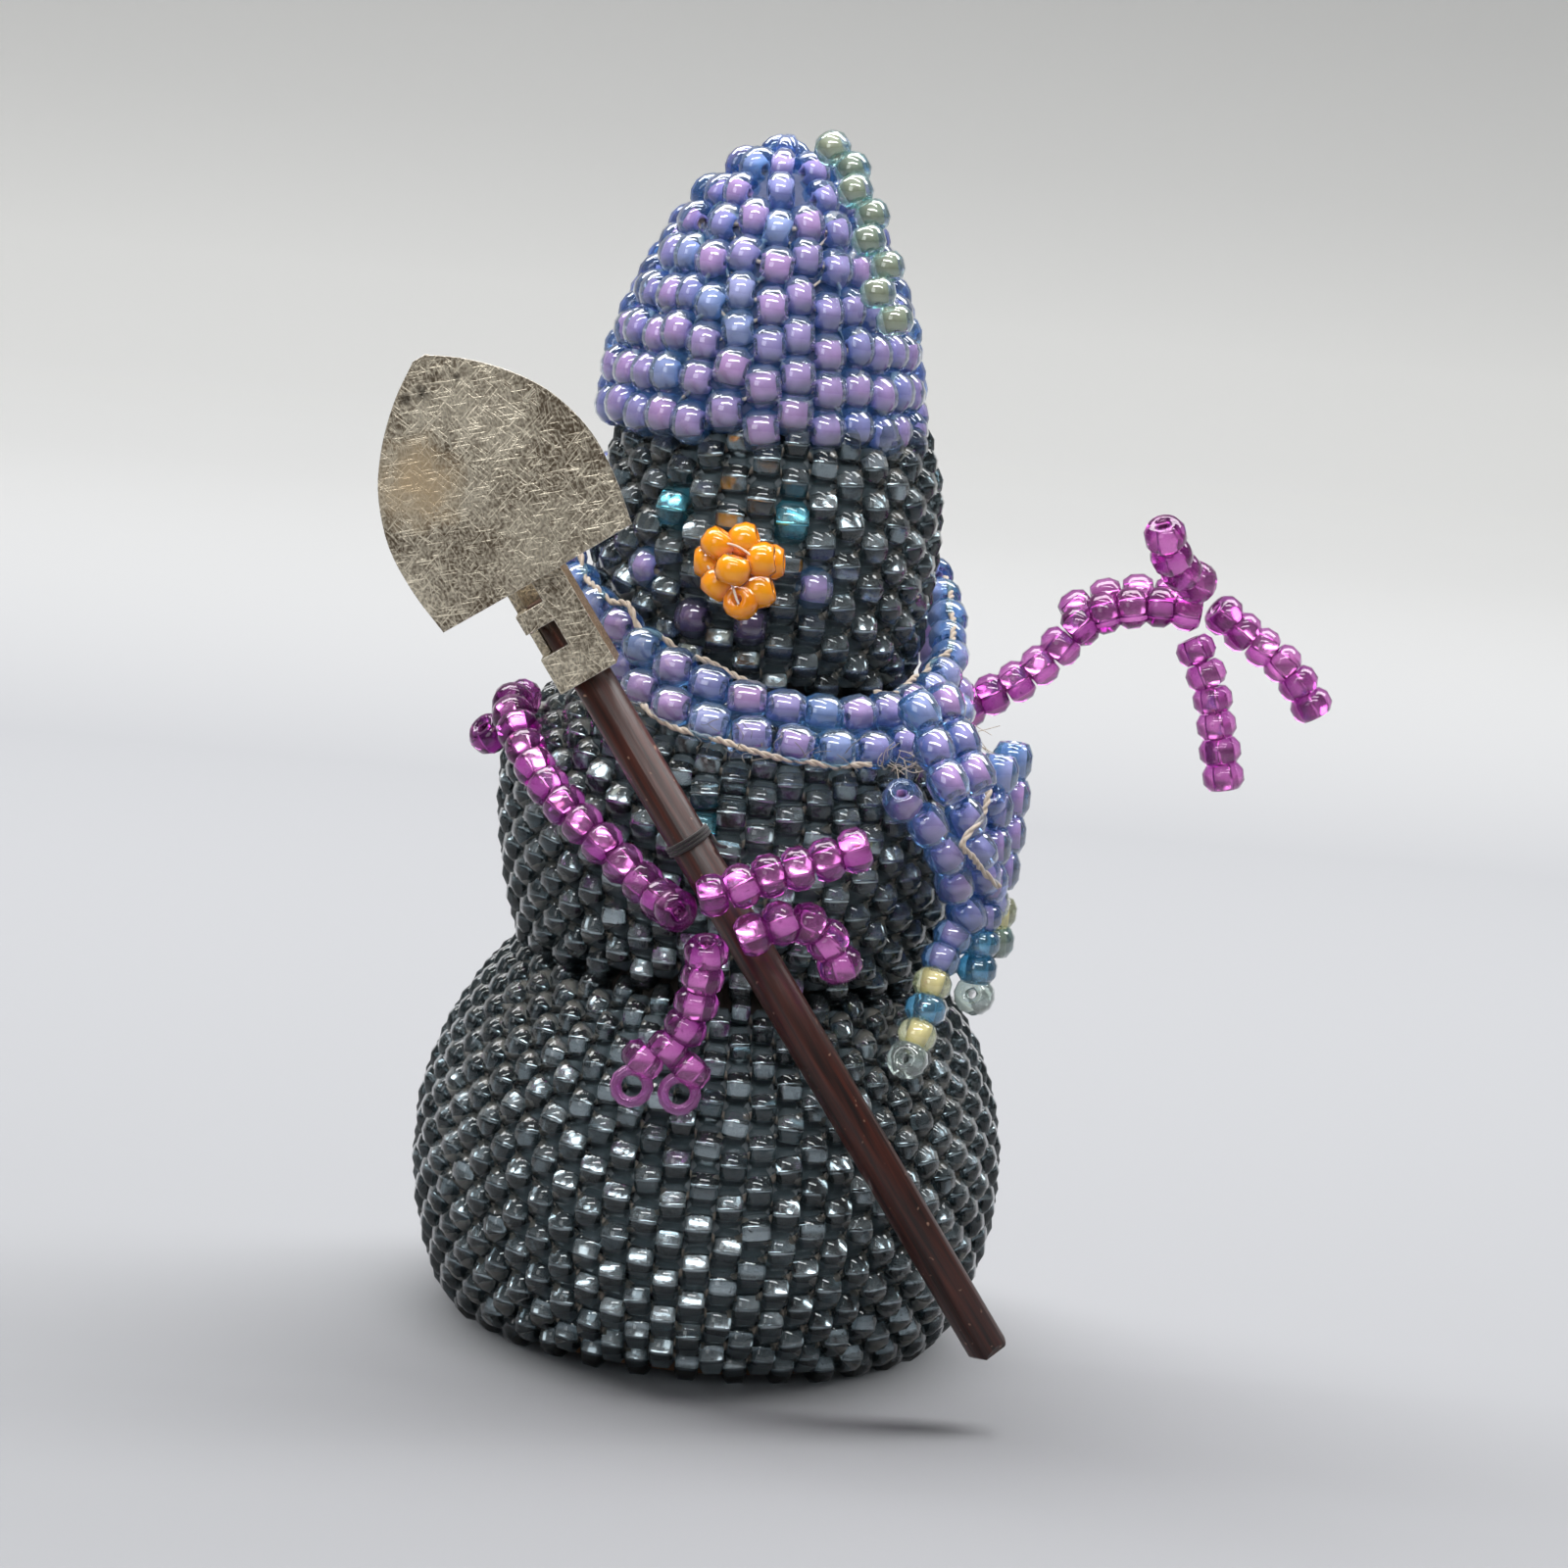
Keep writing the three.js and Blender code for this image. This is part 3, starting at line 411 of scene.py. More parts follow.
@dataclass(frozen=True)
class Timber(Finish):
    """Fine straight-grained wood, stained or bare, with satin gloss and small specks."""

    dark: str
    bright: str
    speck: str
    lean: float = 0.0
    roughness: float = 0.38
    fibre: float = 0.7
    fibre_stretch: Triple = (3.5, 3.5, 0.16)
    fibre_span: Pair = (0.3, 0.72)
    fibre_depth: float = 0.08
    fibre_strength: float = 0.3
    fleck: float = 0.45
    fleck_span: Pair = (0.72, 0.78)

    def surface(self, material: Material) -> ShaderNode:
        """Lays grain that runs along the piece's own lean."""
        fibres = self.grain(material, self.fibre, self.fibre_stretch, 4.0, self.lean)
        streaks = add_node(material, "ShaderNodeMapRange", [fibres, *self.fibre_span]).outputs[0]
        wood = add_node(material, "ShaderNodeMix", {
            SHARE: streaks, UNDER: linear(self.dark), OVER: linear(self.bright)},
            data_type="RGBA").outputs[MIXED]
        flecks = self.grain(material, self.fleck, detail=1.0)
        dots = add_node(material, "ShaderNodeMapRange", [flecks, *self.fleck_span]).outputs[0]
        specked = add_node(material, "ShaderNodeMix", {
            SHARE: dots, UNDER: wood, OVER: linear(self.speck)}, data_type="RGBA").outputs[MIXED]
        bump = add_node(material, "ShaderNodeBump", {
            "Height": fibres, "Strength": self.fibre_strength, "Distance": self.fibre_depth * MM})
        return add_node(material, "ShaderNodeBsdfPrincipled", {
            "Base Color": specked, "Roughness": self.roughness, "Normal": bump.outputs["Normal"]})


@dataclass(frozen=True)
class Hide(Finish):
    """Thin brown leather: matt, with a close pebbled grain."""

    dark: str = "#4d3524"
    bright: str = "#7a583c"
    pebble: float = 0.8
    pebble_depth: float = 0.1
    pebble_strength: float = 0.4
    roughness: float = 0.8

    def surface(self, material: Material) -> ShaderNode:
        """Lays pebbled leather."""
        pebbles = self.grain(material, self.pebble, detail=4.0)
        colour = add_node(material, "ShaderNodeMix", {
            SHARE: pebbles, UNDER: linear(self.dark), OVER: linear(self.bright)},
            data_type="RGBA").outputs[MIXED]
        bump = add_node(material, "ShaderNodeBump", {
            "Height": pebbles, "Strength": self.pebble_strength,
            "Distance": self.pebble_depth * MM})
        return add_node(material, "ShaderNodeBsdfPrincipled", {
            "Base Color": colour, "Roughness": self.roughness, "Normal": bump.outputs["Normal"]})


@dataclass(frozen=True)
class DrawnWire(Finish):
    """Drawn steel wire: a dull mirror with fine lines along it."""

    colour: str = "#a8a6a2"
    line: float = 0.2
    line_stretch: Triple = (0.2, 2, 2)
    roughness: Pair = (0.25, 0.45)

    def surface(self, material: Material) -> ShaderNode:
        """Lays drawn steel."""
        lines = self.grain(material, self.line, self.line_stretch)
        rough = add_node(
            material, "ShaderNodeMapRange", [lines, 0, 1, *self.roughness]).outputs[0]
        return add_node(material, "ShaderNodeBsdfPrincipled", {
            "Base Color": linear(self.colour), "Metallic": 1.0, "Roughness": rough})


@dataclass(frozen=True)
class Paper(Finish):
    """Matt studio paper, paler towards the back so that it looks evenly lit."""

    near: str = "#aeafb2"
    far: str = "#fafaf8"
    reach: Pair = (0.16, 0.55)
    glow: float = 0.22
    roughness: float = 0.9
    specular: float = 0.1

    def surface(self, material: Material) -> ShaderNode:
        """Lays pale paper that brightens with distance, a little more where it is looked at."""
        place = add_node(material, "ShaderNodeTexCoord").outputs["Object"]
        depth = add_node(material, "ShaderNodeSeparateXYZ", {"Vector": place}).outputs["Y"]
        share = add_node(material, "ShaderNodeMapRange", [depth, *self.reach]).outputs[0]
        colour = add_node(material, "ShaderNodeMix", {
            SHARE: share, UNDER: linear(self.near), OVER: linear(self.far)},
            data_type="RGBA").outputs[MIXED]
        path = add_node(material, "ShaderNodeLightPath").outputs
        glow = add_node(
            material, "ShaderNodeMath", [share, self.glow], operation="MULTIPLY").outputs[0]
        seen = path["Is Camera Ray"]
        for ray in ("Is Glossy Ray", "Is Transmission Ray"):
            seen = add_node(
                material, "ShaderNodeMath", [seen, path[ray]], operation="MAXIMUM").outputs[0]
        shown = add_node(material, "ShaderNodeMath", [glow, seen], operation="MULTIPLY").outputs[0]
        return add_node(material, "ShaderNodeBsdfPrincipled", {
            "Base Color": colour, "Roughness": self.roughness, "Specular IOR Level": self.specular,
            "Emission Color": linear(self.far), "Emission Strength": shown})


SMOKE_GLASS = SeedGlass("smoke_grey_glass", "#5f6e74", "#b4c0c5", clarity=0.98)
FUCHSIA_GLASS = SeedGlass("fuchsia_seed_glass", "#9c3498", "#f09ae1", clarity=0.94)
ORCHID_GLASS = SeedGlass("orchid_seed_glass", "#d983d2", "#f6c4ee", clarity=0.75)
TEAL_GLASS = SeedGlass("teal_seed_glass", "#2d95b4", "#9beefa", clarity=0.97)
BLUE_LUSTRE_GLASS = SeedGlass("blue_lustre_glass", "#477ab2", "#b6c4dd", lustre=0.55, clarity=0.85)
SKY_LUSTRE_GLASS = SeedGlass("sky_lustre_glass", "#4f89b8", "#b0c5dd", lustre=0.55, clarity=0.85)
# Painted shade: a darker copy of the blue lustre glass, for the two middle mouth beads, which lie in
# shade.
SHADED_PLUM_GLASS = SeedGlass("shaded_plum_glass", "#333c58", "#8d86a6", lustre=0.4, clarity=0.8)
SEA_LUSTRE_GLASS = SeedGlass("sea_green_lustre_glass", "#79aeb4", "#c3d0c6", lustre=0.8, clarity=0.86)
STRAW_GLASS = SeedGlass("straw_glass", "#c9cf9c", "#eef0d4", lustre=0.6)
CLEAR_GLASS = SeedGlass("clear_glass", "#c3d2cd", "#eef5f0", lustre=0.6)
AZURE_GLASS = SeedGlass("azure_glass", "#2f7fae", "#78bbdc", lustre=0.6)
ORANGE_GLASS = OpaqueGlass("orange_opaque_glass", "#f28c00", "#ffa614")

SILVER = SilverLining("silver_bore", "#c9cdd0", "#f4f6f7")
ROSE_SILVER = SilverLining("rose_silver_bore", "#e8c9e6", "#ffe8fb", dull="#a06a9c")
LILAC_PAINT = ColourLining("lilac_bore_paint", "#a59cc9", "#d490c1")
PEARL_PAINT = ColourLining("pearl_bore_paint", "#9fa5cb", "#bfaed6")
# Painted shade: a darker copy of the lilac bore paint, for the two middle mouth beads.
SHADED_MAUVE_PAINT = ColourLining("shaded_mauve_bore_paint", "#6d5573", "#a583b5")
MOSS_PAINT = ColourLining("moss_bore_paint", "#6a6d5a", "#8b8a72")
CREAM_PAINT = ColourLining("cream_bore_paint", "#c9b878", "#e9d9a2")

TAN_THREAD = SpunThread("tan_beading_thread", "#a18f7e", "#d8c9b8")
PALE_THREAD = SpunThread("pale_beading_thread", "#d8bfa6", "#f3e6d6")
SLATE_THREAD = SpunThread("slate_beading_thread", "#232a44", "#4d5578")
ASH_THREAD = SpunThread("ash_beading_thread", "#4d5458", "#7c8488")
GREY_THREAD = SpunThread("grey_beading_thread", "#3a3733", "#8f8478")
DARK_THREAD = SpunThread("dark_waxed_thread", "#141213", "#35302e")

# Painted shade: the hidden former is coloured near black, so that it reads as shade where it shows
# through the weave.
SHADE_DARK_WOOD = Timber("shade_dark_softwood", "#241d17", "#3a2f25", "#1b1510", roughness=0.7)
PAD_LEATHER = Hide("pad_leather")
STEEL_WIRE = DrawnWire("drawn_steel_wire")
RUBBED_PEWTER = Pewter("rubbed_pewter_edge", "#c9c2b4", "#fbf7ee")
WARM_TAN_PEWTER = Pewter("warm_tan_pewter", "#8a6f52", "#cfae88")
STUDIO_PAPER = Paper("studio_paper")


class Outline(Enum):
    """Half-sections of a bead one unit long and one across, as (along the hole, radius) points."""

    BARREL = ((-0.45, 0.12), (-0.49, 0.34), (-0.3, 0.5), (0.3, 0.5), (0.49, 0.34), (0.45, 0.12))
    ROUND = (
        (-0.34, 0.12), (-0.48, 0.2), (-0.46, 0.36), (-0.2, 0.485),
        (0.2, 0.485), (0.46, 0.36), (0.48, 0.2), (0.34, 0.12))
    RING = ((-0.2, 0.24), (-0.5, 0.36), (-0.2, 0.48), (0.2, 0.48), (0.5, 0.36), (0.2, 0.24))


@dataclass
class Bead:
    """One bead's place: its middle, the way of its hole and its outward side. Millimetres."""

    centre: Vector
    axis: Vector
    outward: Vector
    length: float
    diameter: float
    spin: float = 0.0
    tone: float = 0.5
    colour: int = 0
    row: int = 0

    def matrix(self, spun: bool) -> Matrix:
        """Gives the transform that carries a unit bead to this place, in metres.

        Args:
            spun: Whether the bead's own turn about its hole counts, as it does for the bore.

        Returns:
            The transform.
        """
        axis = self.axis.normalized()
        outward = (self.outward - axis * self.outward.dot(axis)).normalized()
        frame_axes = Matrix((axis, outward.cross(axis), outward)).transposed().to_4x4()
        size = Matrix.Diagonal((self.length * MM, self.diameter * MM, self.diameter * MM, 1.0))
        turn = Matrix.Rotation(self.spin if spun else 0.0, 4, "X")
        return Matrix.Translation(self.centre * MM) @ frame_axes @ turn @ size


def any_turn(chance: random.Random) -> float:
    """Draws a loose bead's turn about its hole."""
    return chance.uniform(0, math.pi / 2)


def any_tone(chance: random.Random) -> float:
    """Draws a bead's tone, mostly near the middle and seldom at an end."""
    return chance.betavariate(2, 2)


def new_piece(name: str, form: BMesh, finishes: Iterable[Finish]) -> Object:
    """Makes an object at the origin from a finished form.

    Args:
        name: The piece's name.
        form: The form in metres, freed here.
        finishes: The finishes of its material slots.

    Returns:
        The new object.
    """
    mesh = bpy.data.meshes.new(name)
    form.to_mesh(mesh)
    form.free()
    for finish in finishes:
        mesh.materials.append(finish.material())
    piece = bpy.data.objects.new(name, mesh)
    bpy.context.scene.collection.objects.link(piece)
    return piece


def seat(piece: Object, body: str, slot: str, *nodes: str) -> None:
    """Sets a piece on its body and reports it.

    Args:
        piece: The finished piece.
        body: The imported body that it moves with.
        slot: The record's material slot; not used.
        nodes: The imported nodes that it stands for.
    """
    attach(piece, body)
    if nodes:
        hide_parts(*nodes)
    LOG.info("%s rides on %s and replaces %s", piece.name, body, ", ".join(nodes) or "nothing")


def spin_round(
    form: BMesh, points: Iterable[Sequence[float]], axis: Sequence[float], steps: int, closed: bool,
) -> None:
    """Spins a line of points right round an axis through the origin.

    Args:
        form: The form that grows.
        points: The line.
        axis: The axis.
        steps: How many steps make the turn.
        closed: Whether the line's last point joins its first.
    """
    line = [form.verts.new(point) for point in points]
    first = 0 if closed else 1
    edges = [form.edges.new((line[k - 1], line[k])) for k in range(first, len(line))]
    bmesh.ops.spin(
        form, geom=line + edges, cent=ORIGIN, axis=axis, dvec=ORIGIN, angle=math.tau, steps=steps,
        use_merge=True)


def draw_out(form: BMesh, edges: Sequence[BMEdge], way: Sequence[float]) -> list[BMEdge]:
    """Draws edges out into a strip of faces.

    Args:
        form: The form that grows.
        edges: The edges to draw out.
        way: How far, along each axis.

    Returns:
        The strip's far edges.
    """
    grown = bmesh.ops.extrude_edge_only(form, edges=edges)["geom"]
    fresh = [item for item in grown if isinstance(item, BMVert)]
    bmesh.ops.translate(form, vec=way, verts=fresh)
    return [item for item in grown if isinstance(item, BMEdge)
            and all(vert in fresh for vert in item.verts)]


def smooth_out(form: BMesh) -> None:
    """Turns a form's faces outwards and shades them smooth."""
    bmesh.ops.recalc_face_normals(form, faces=form.faces)
    for face in form.faces:
        face.smooth = True


@dataclass(frozen=True)
class BeadStock:
    """A stock of like beads: their outline, glass and lining, by colour number."""

    outline: Outline
    glass: tuple[Finish, ...]
    lining: tuple[Finish, ...] = ()
    bore: float = 0.4
    reach: float = 0.88
    corner: float = 0.12
    wall: float = 0.05
    sides: int = 12
    mottle: float = 0.3
    square_corner: ClassVar[float] = 0.25

    def shell(self) -> Mesh:
        """Gives a unit bead of glass, spun from its half-section."""
        form = bmesh.new()
        section = [(x, 0.0, radius) for x, radius in self.outline.value]
        spin_round(form, section, (1, 0, 0), self.sides, True)
        smooth_out(form)
        return self.unit_mesh("bead_shell", form)

    def lined_bore(self) -> Mesh:
        """Gives the square lining of a unit bead, an open tube just inside the glass."""
        form = bmesh.new()
        bmesh.ops.create_cube(form, size=1.0)
        ends = [face for face in form.faces if abs(face.normal.x) > FACING]
        bmesh.ops.delete(form, geom=ends, context="FACES_ONLY")
        bmesh.ops.scale(form, vec=(self.reach, self.bore, self.bore), verts=form.verts)
        corners = [edge for edge in form.edges
                   if abs(edge.verts[0].co.x - edge.verts[1].co.x) > self.bore]
        bmesh.ops.bevel(
            form, geom=corners, offset=self.bore * self.corner, segments=2, profile=0.5,
            affect="EDGES", material=-1)
        for face in form.faces:
            flat = max(abs(face.normal.y), abs(face.normal.z)) > FACING
            face.smooth = self.corner > self.square_corner or not flat
        bmesh.ops.solidify(form, geom=form.faces, thickness=self.wall)
        bmesh.ops.recalc_face_normals(form, faces=form.faces)
        return self.unit_mesh("bead_bore", form)

    def unit_mesh(self, name: str, form: BMesh) -> Mesh:
        """Makes a template mesh that can carry each bead's tone.

        Args:
            name: The template's name.
            form: The unit form, freed here.

        Returns:
            The template.
        """
        mesh = bpy.data.meshes.new(name)
        form.to_mesh(mesh)
        form.free()
        mesh.attributes.new(TONE, "FLOAT", "POINT")
        return mesh

    def join(
        self, name: str, beads: Sequence[Bead], template: Mesh, finishes: Sequence[Finish], glassy: bool,
    ) -> Object:
        """Sets a copy of a template at every bead's place, all in one piece.

        Glass is given a lighter tone on its outward side and a deeper one round its rim, where
        the eye looks through more of it.

        Args:
            name: The piece's name.
            beads: The places.
            template: The unit mesh, removed at the end.
            finishes: The finish of each colour number.
            glassy: Whether the template is a shell of glass.

        Returns:
            The joined piece.
        """
        form = bmesh.new()
        facing = np.abs([vertex.normal.z for vertex in template.vertices])
        for bead in beads:
            copy = template.copy()
            copy.transform(bead.matrix(not glassy))
            tones = np.full(len(facing), bead.tone)
            if glassy:
                tones = np.clip(facing + self.mottle * (bead.tone - 0.5), 0, 1)
            copy.attributes[TONE].data.foreach_set("value", tones)
            copy.polygons.foreach_set("material_index", [bead.colour] * len(copy.polygons))
            form.from_mesh(copy)
            bpy.data.meshes.remove(copy)
        bpy.data.meshes.remove(template)
        return new_piece(name, form, finishes)

    def string(self, name: str, beads: Sequence[Bead], body: str, slot: str, *nodes: str) -> Object:
        """Makes one piece of glass, and one of linings inside it, from a list of places.

        The glass leaves no shadow of its own, so that lamps reach the linings through it.

        Args:
            name: The piece's name.
            beads: The places.
            body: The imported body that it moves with.
            slot: The record's material slot.
            nodes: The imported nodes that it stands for.

        Returns:
            The glass.
        """
        glass = self.join(name, beads, self.shell(), self.glass, True)
        seat(glass, body, slot, *nodes)
        if self.lining:
            glass.visible_shadow = False
            lining = self.join(f"{name}_lining", beads, self.lined_bore(), self.lining, False)
            seat(lining, body, slot)
        return glass


BODY_BEADS = BeadStock(Outline.BARREL, (SMOKE_GLASS,), (SILVER,), 0.36, 0.84, 0.16)
ARM_BEADS = BeadStock(Outline.ROUND, (FUCHSIA_GLASS,), (ROSE_SILVER,), 0.36, 0.64, sides=16)
EYE_BEADS = BeadStock(Outline.BARREL, (TEAL_GLASS,), (SILVER,))
MOUTH_BEADS = BeadStock(
    Outline.ROUND, (BLUE_LUSTRE_GLASS, SHADED_PLUM_GLASS), (LILAC_PAINT, SHADED_MAUVE_PAINT), 0.36, 0.5, 0.32)
LUSTRE_BEADS = BeadStock(
    Outline.ROUND, (BLUE_LUSTRE_GLASS, SKY_LUSTRE_GLASS), (LILAC_PAINT, PEARL_PAINT),
    0.38, 0.52, 0.3, sides=14)
TASSEL_BEADS = BeadStock(Outline.ROUND, (SEA_LUSTRE_GLASS,), (MOSS_PAINT,), 0.36, 0.56, 0.32)
FRINGE_BEADS = BeadStock(
    Outline.ROUND,
    (BLUE_LUSTRE_GLASS, STRAW_GLASS, AZURE_GLASS, CLEAR_GLASS, SEA_LUSTRE_GLASS),
    (LILAC_PAINT, CREAM_PAINT, SILVER, SILVER, MOSS_PAINT), 0.34, 0.56, 0.32)
NOSE_BEADS = BeadStock(Outline.ROUND, (ORANGE_GLASS,))
END_BEADS = BeadStock(Outline.RING, (ORCHID_GLASS,))


@dataclass(frozen=True)
class Turned:
    """The outside of a form turned about an upright axis, sampled along its outline. Millimetres."""

    radius: np.ndarray
    height: np.ndarray

    @cached_property
    def arc(self) -> np.ndarray:
        """Gives the length along the outline at each sample."""
        steps = np.hypot(np.diff(self.radius), np.diff(self.height))
        return np.concatenate(([0.0], np.cumsum(steps)))

    @cached_property
    def slopes(self) -> tuple[np.ndarray, np.ndarray]:
        """Gives the rise and the spread per length of outline at each sample."""
        return np.gradient(self.height, self.arc), np.gradient(self.radius, self.arc)

    def place(self, arc: float) -> tuple[float, float, float, float]:
        """Finds a point of the outline and the way out of it.

        Args:
            arc: Length along the outline.

        Returns:
            Radius, height, and the outward direction's radial and upward parts.
        """
        radius, height, rise, spread = (
            float(np.interp(arc, self.arc, line)) for line in (self.radius, self.height, *self.slopes))
        size = math.hypot(rise, spread)
        return radius, height, rise / size, -spread / size


@dataclass(frozen=True)
class Ball:
    """One woven ball of the body, as (radius, height) at its rims and its widest place."""

    low: Pair
    wide: Pair
    high: Pair
    samples: ClassVar[int] = 120

    def quarter(self, rim: Pair) -> Pair:
        """Gives the angle and half-height of the quarter ellipse from the widest place to a rim."""
        spread = math.acos(rim[0] / self.wide[0])
        return spread, (rim[1] - self.wide[1]) / math.sin(spread)

    def outline(self) -> Turned:
        """Gives the ball's outline from its lower rim to its upper one."""
        below, drop = self.quarter(self.low)
        above, rise = self.quarter(self.high)
        lower = np.linspace(-below, 0, self.samples)
        upper = np.linspace(0, above, self.samples)[1:]
        radius = self.wide[0] * np.cos(np.concatenate((lower, upper)))
        height = self.wide[1] + np.concatenate((-drop * np.sin(lower), rise * np.sin(upper)))
        return Turned(radius, height)

    def radius(self, height: float) -> float:
        """Gives the ball's outside radius at a height."""
        _, rise = self.quarter(self.low if height < self.wide[1] else self.high)
        return self.wide[0] * math.sqrt(1 - ((height - self.wide[1]) / rise) ** 2)

    def lifted(self, azimuth: float, height: float, lift: float) -> Vector:
        """Gives a point raised square off the ball's surface.

        Args:
            azimuth: Azimuth in degrees.
            height: Height of the point under it.
            lift: Distance from the surface.

        Returns:
            The raised point.
        """
        _, rise = self.quarter(self.low if height < self.wide[1] else self.high)
        radius = self.radius(height)
        out = Vector((radius / self.wide[0] ** 2, (height - self.wide[1]) / rise ** 2)).normalized()
        return around(azimuth, radius + lift * out.x, height + lift * out.y)


LOWER_BALL = Ball((13.0, 0.3), (15.2, 8.6), (10.9, 19.15))
TORSO_BALL = Ball((10.9, 19.45), (12.5, 28.0), (8.1, 33.85))
HEAD_BALL = Ball((8.1, 34.15), (8.9, 41.0), (7.9, 46.6))
WAIST_HEIGHT = 19.3
NECK_HEIGHT = 34.0


def body_radius(height: float) -> float:
    """Gives the woven body's outside radius at a height."""
    if height < WAIST_HEIGHT:
        return LOWER_BALL.radius(height)
    return (TORSO_BALL if height < NECK_HEIGHT else HEAD_BALL).radius(height)


@dataclass
class Weave:
    """Half-drop rows of beads round a turned form; rows lose a few beads where it narrows.

    Inset and bed depth are shares of a bead's width, and squeeze is the share of the pitch under
    which a row loses beads. Turn is in degrees; corner, tilt and wobble are in radians.
    """

    outline: Turned
    diameter: float
    pitch: float
    row_beads: int
    turn: float
    middle: float = 0.0
    inset: float = 0.5
    corner: float = math.pi / 4
    loose: float = 0.12
    bed_depth: float = 0.6
    shift: float = 0.05
    tilt: float = 0.06
    squeeze: float = 0.6
    settled: bool = False
    steps: ClassVar[int] = 90
    step: ClassVar[float] = 0.25
    apart: ClassVar[float] = 2.0
    tiny: ClassVar[float] = 1e-6
    floor: ClassVar[float] = 0.05
    wobble: ClassVar[float] = 0.15
    stretch: ClassVar[Pair] = (0.98, 1.06)
    swell: ClassVar[Pair] = (0.97, 1.02)
    bed_rings: ClassVar[int] = 18
    bed_sides: ClassVar[int] = 36
    bed_hole: ClassVar[float] = 0.1

    def rows(self) -> tuple[np.ndarray, np.ndarray, np.ndarray, list[int]]:
        """Lays the plain lattice.

        Returns:
            Each bead's angle in radians, its length along the outline, its own length and its row.
        """
        total = self.outline.arc[-1]
        count = round(total / (self.diameter / 2))
        radii = [self.outline.place(total * row / count)[0] for row in range(count + 1)]
        widest = max(range(count + 1), key=radii.__getitem__)
        row_counts = [self.row_beads] * (count + 1)
        for row in (*range(widest + 1, count + 1), *range(widest - 1, -1, -1)):
            beads = row_counts[row - 1 if row > widest else row + 1]
            if math.pi * radii[row] / beads < self.squeeze * self.pitch:
                beads = max(round(math.pi * radii[row] / self.pitch), 1)
            row_counts[row] = beads
        angles, arcs, lengths, numbers = [], [], [], []
        for row, beads in enumerate(row_counts):
            depth = min(self.inset * self.diameter, radii[row] / 2)
            for k in range(beads):
                angles.append(math.radians(self.turn) + math.tau * (k + row % 2 / 2) / beads)
                arcs.append(total * row / count)
                lengths.append(max(math.pi * (radii[row] - depth) / beads, self.pitch / 2))
                numbers.append(row)
        return np.array(angles), np.array(arcs), np.array(lengths), numbers

    def settle(self, angles: np.ndarray, arcs: np.ndarray, lengths: np.ndarray) -> None:
        """Pushes crowded beads apart along the surface, where rows of unlike count meet.

        Each bead counts as a rounded square, as long and as wide as itself.

        Args:
            angles: Bead angles, changed in place.
            arcs: Lengths along the outline, changed in place.
            lengths: Bead lengths.
        """
        least = self.inset * self.diameter / 2
        for _ in range(self.steps):
            radius = np.interp(arcs, self.outline.arc, self.outline.radius)
            radius = np.maximum(radius - self.inset * self.diameter, least)
            gap = (angles[:, None] - angles[None, :] + math.pi) % math.tau - math.pi
            across = gap * (radius[:, None] + radius[None, :]) / (lengths[:, None] + lengths[None, :])
            down = (arcs[:, None] - arcs[None, :]) / self.diameter
            near = (across ** 4 + down ** 4) ** 0.25
            np.fill_diagonal(near, self.apart)
            push = np.clip(1 - near, 0, None)
            size = np.maximum(np.hypot(across ** 3, down ** 3), self.tiny)
            angles += self.step * (push * across ** 3 / size).sum(1) * lengths / radius
            arcs += self.step * (push * down ** 3 / size).sum(1) * self.diameter
            np.clip(arcs, 0, self.outline.arc[-1], out=arcs)

    def beads(self, chance: random.Random) -> list[Bead]:
        """Gives every bead of the weave, each a little out of true.

        Args:
            chance: The source of small differences.

        Returns:
            The beads.
        """
        angles, arcs, lengths, rows = self.rows()
        if self.settled:
            self.settle(angles, arcs, lengths)
        made = []
        for angle, arc, length, row in zip(angles, arcs, lengths, rows):
            radius, height, out, rise = self.outline.place(arc)
            azimuth = math.degrees(angle)
            outward = around(azimuth, out, rise)
            centre = around(azimuth, radius, height) - outward * self.diameter / 2
            centre += Vector([chance.uniform(-self.shift, self.shift) for _ in range(3)])
            centre.x += self.middle
            centre.z = max(centre.z, self.diameter / 2 + self.floor)
            axis = along(azimuth) + outward.cross(along(azimuth)) * chance.gauss(0, self.tilt)
            corner = self.corner + chance.gauss(0, self.wobble)
            loose = any_turn(chance)
            made.append(Bead(
                centre, axis, outward, length * chance.uniform(*self.stretch),
                self.diameter * chance.uniform(*self.swell),
                loose if chance.random() < self.loose else corner, any_tone(chance), row=row))
        return made

    def bed(self, name: str, finish: Finish) -> Object:
        """Turns the bed of thread that closes the weave behind the beads.

        Args:
            name: The piece's name.
            finish: The bed's finish.

        Returns:
            The piece.
        """
        total = self.outline.arc[-1]
        depth = self.bed_depth * self.diameter
        profile = []
        for share in np.linspace(0.0, 1.0, self.bed_rings):
            radius, height, out, rise = self.outline.place(total * share)
            reach = max(radius - depth * out, self.bed_hole)
            profile.append((0, -reach * MM, (height - depth * rise) * MM))
        form = bmesh.new()
        spin_round(form, profile, (0, 0, 1), self.bed_sides, False)
        bmesh.ops.translate(form, vec=(self.middle * MM, 0, 0), verts=form.verts)
        smooth_out(form)
        return new_piece(name, form, (finish,))

    def stitches(self, beads: Sequence[Bead]) -> list[list[Vector]]:
        """Follows the thread that zigzags between each two rows, from hole to hole.

        Args:
            beads: The weave's beads.

        Returns:
            One closed run of points for each two rows.
        """
        middle = Vector((self.middle, 0, 0))

        def turn(bead: Bead) -> float:
            """Gives a bead's angle round the form."""
            return math.atan2(bead.centre.x - middle.x, -bead.centre.y)

        last = max(bead.row for bead in beads)
        runs = []
        for row in range(last):
            ring = sorted((bead for bead in beads if bead.row in (row, row + 1)), key=turn)
            runs.append([bead.centre for bead in (*ring, ring[0])])
        return runs


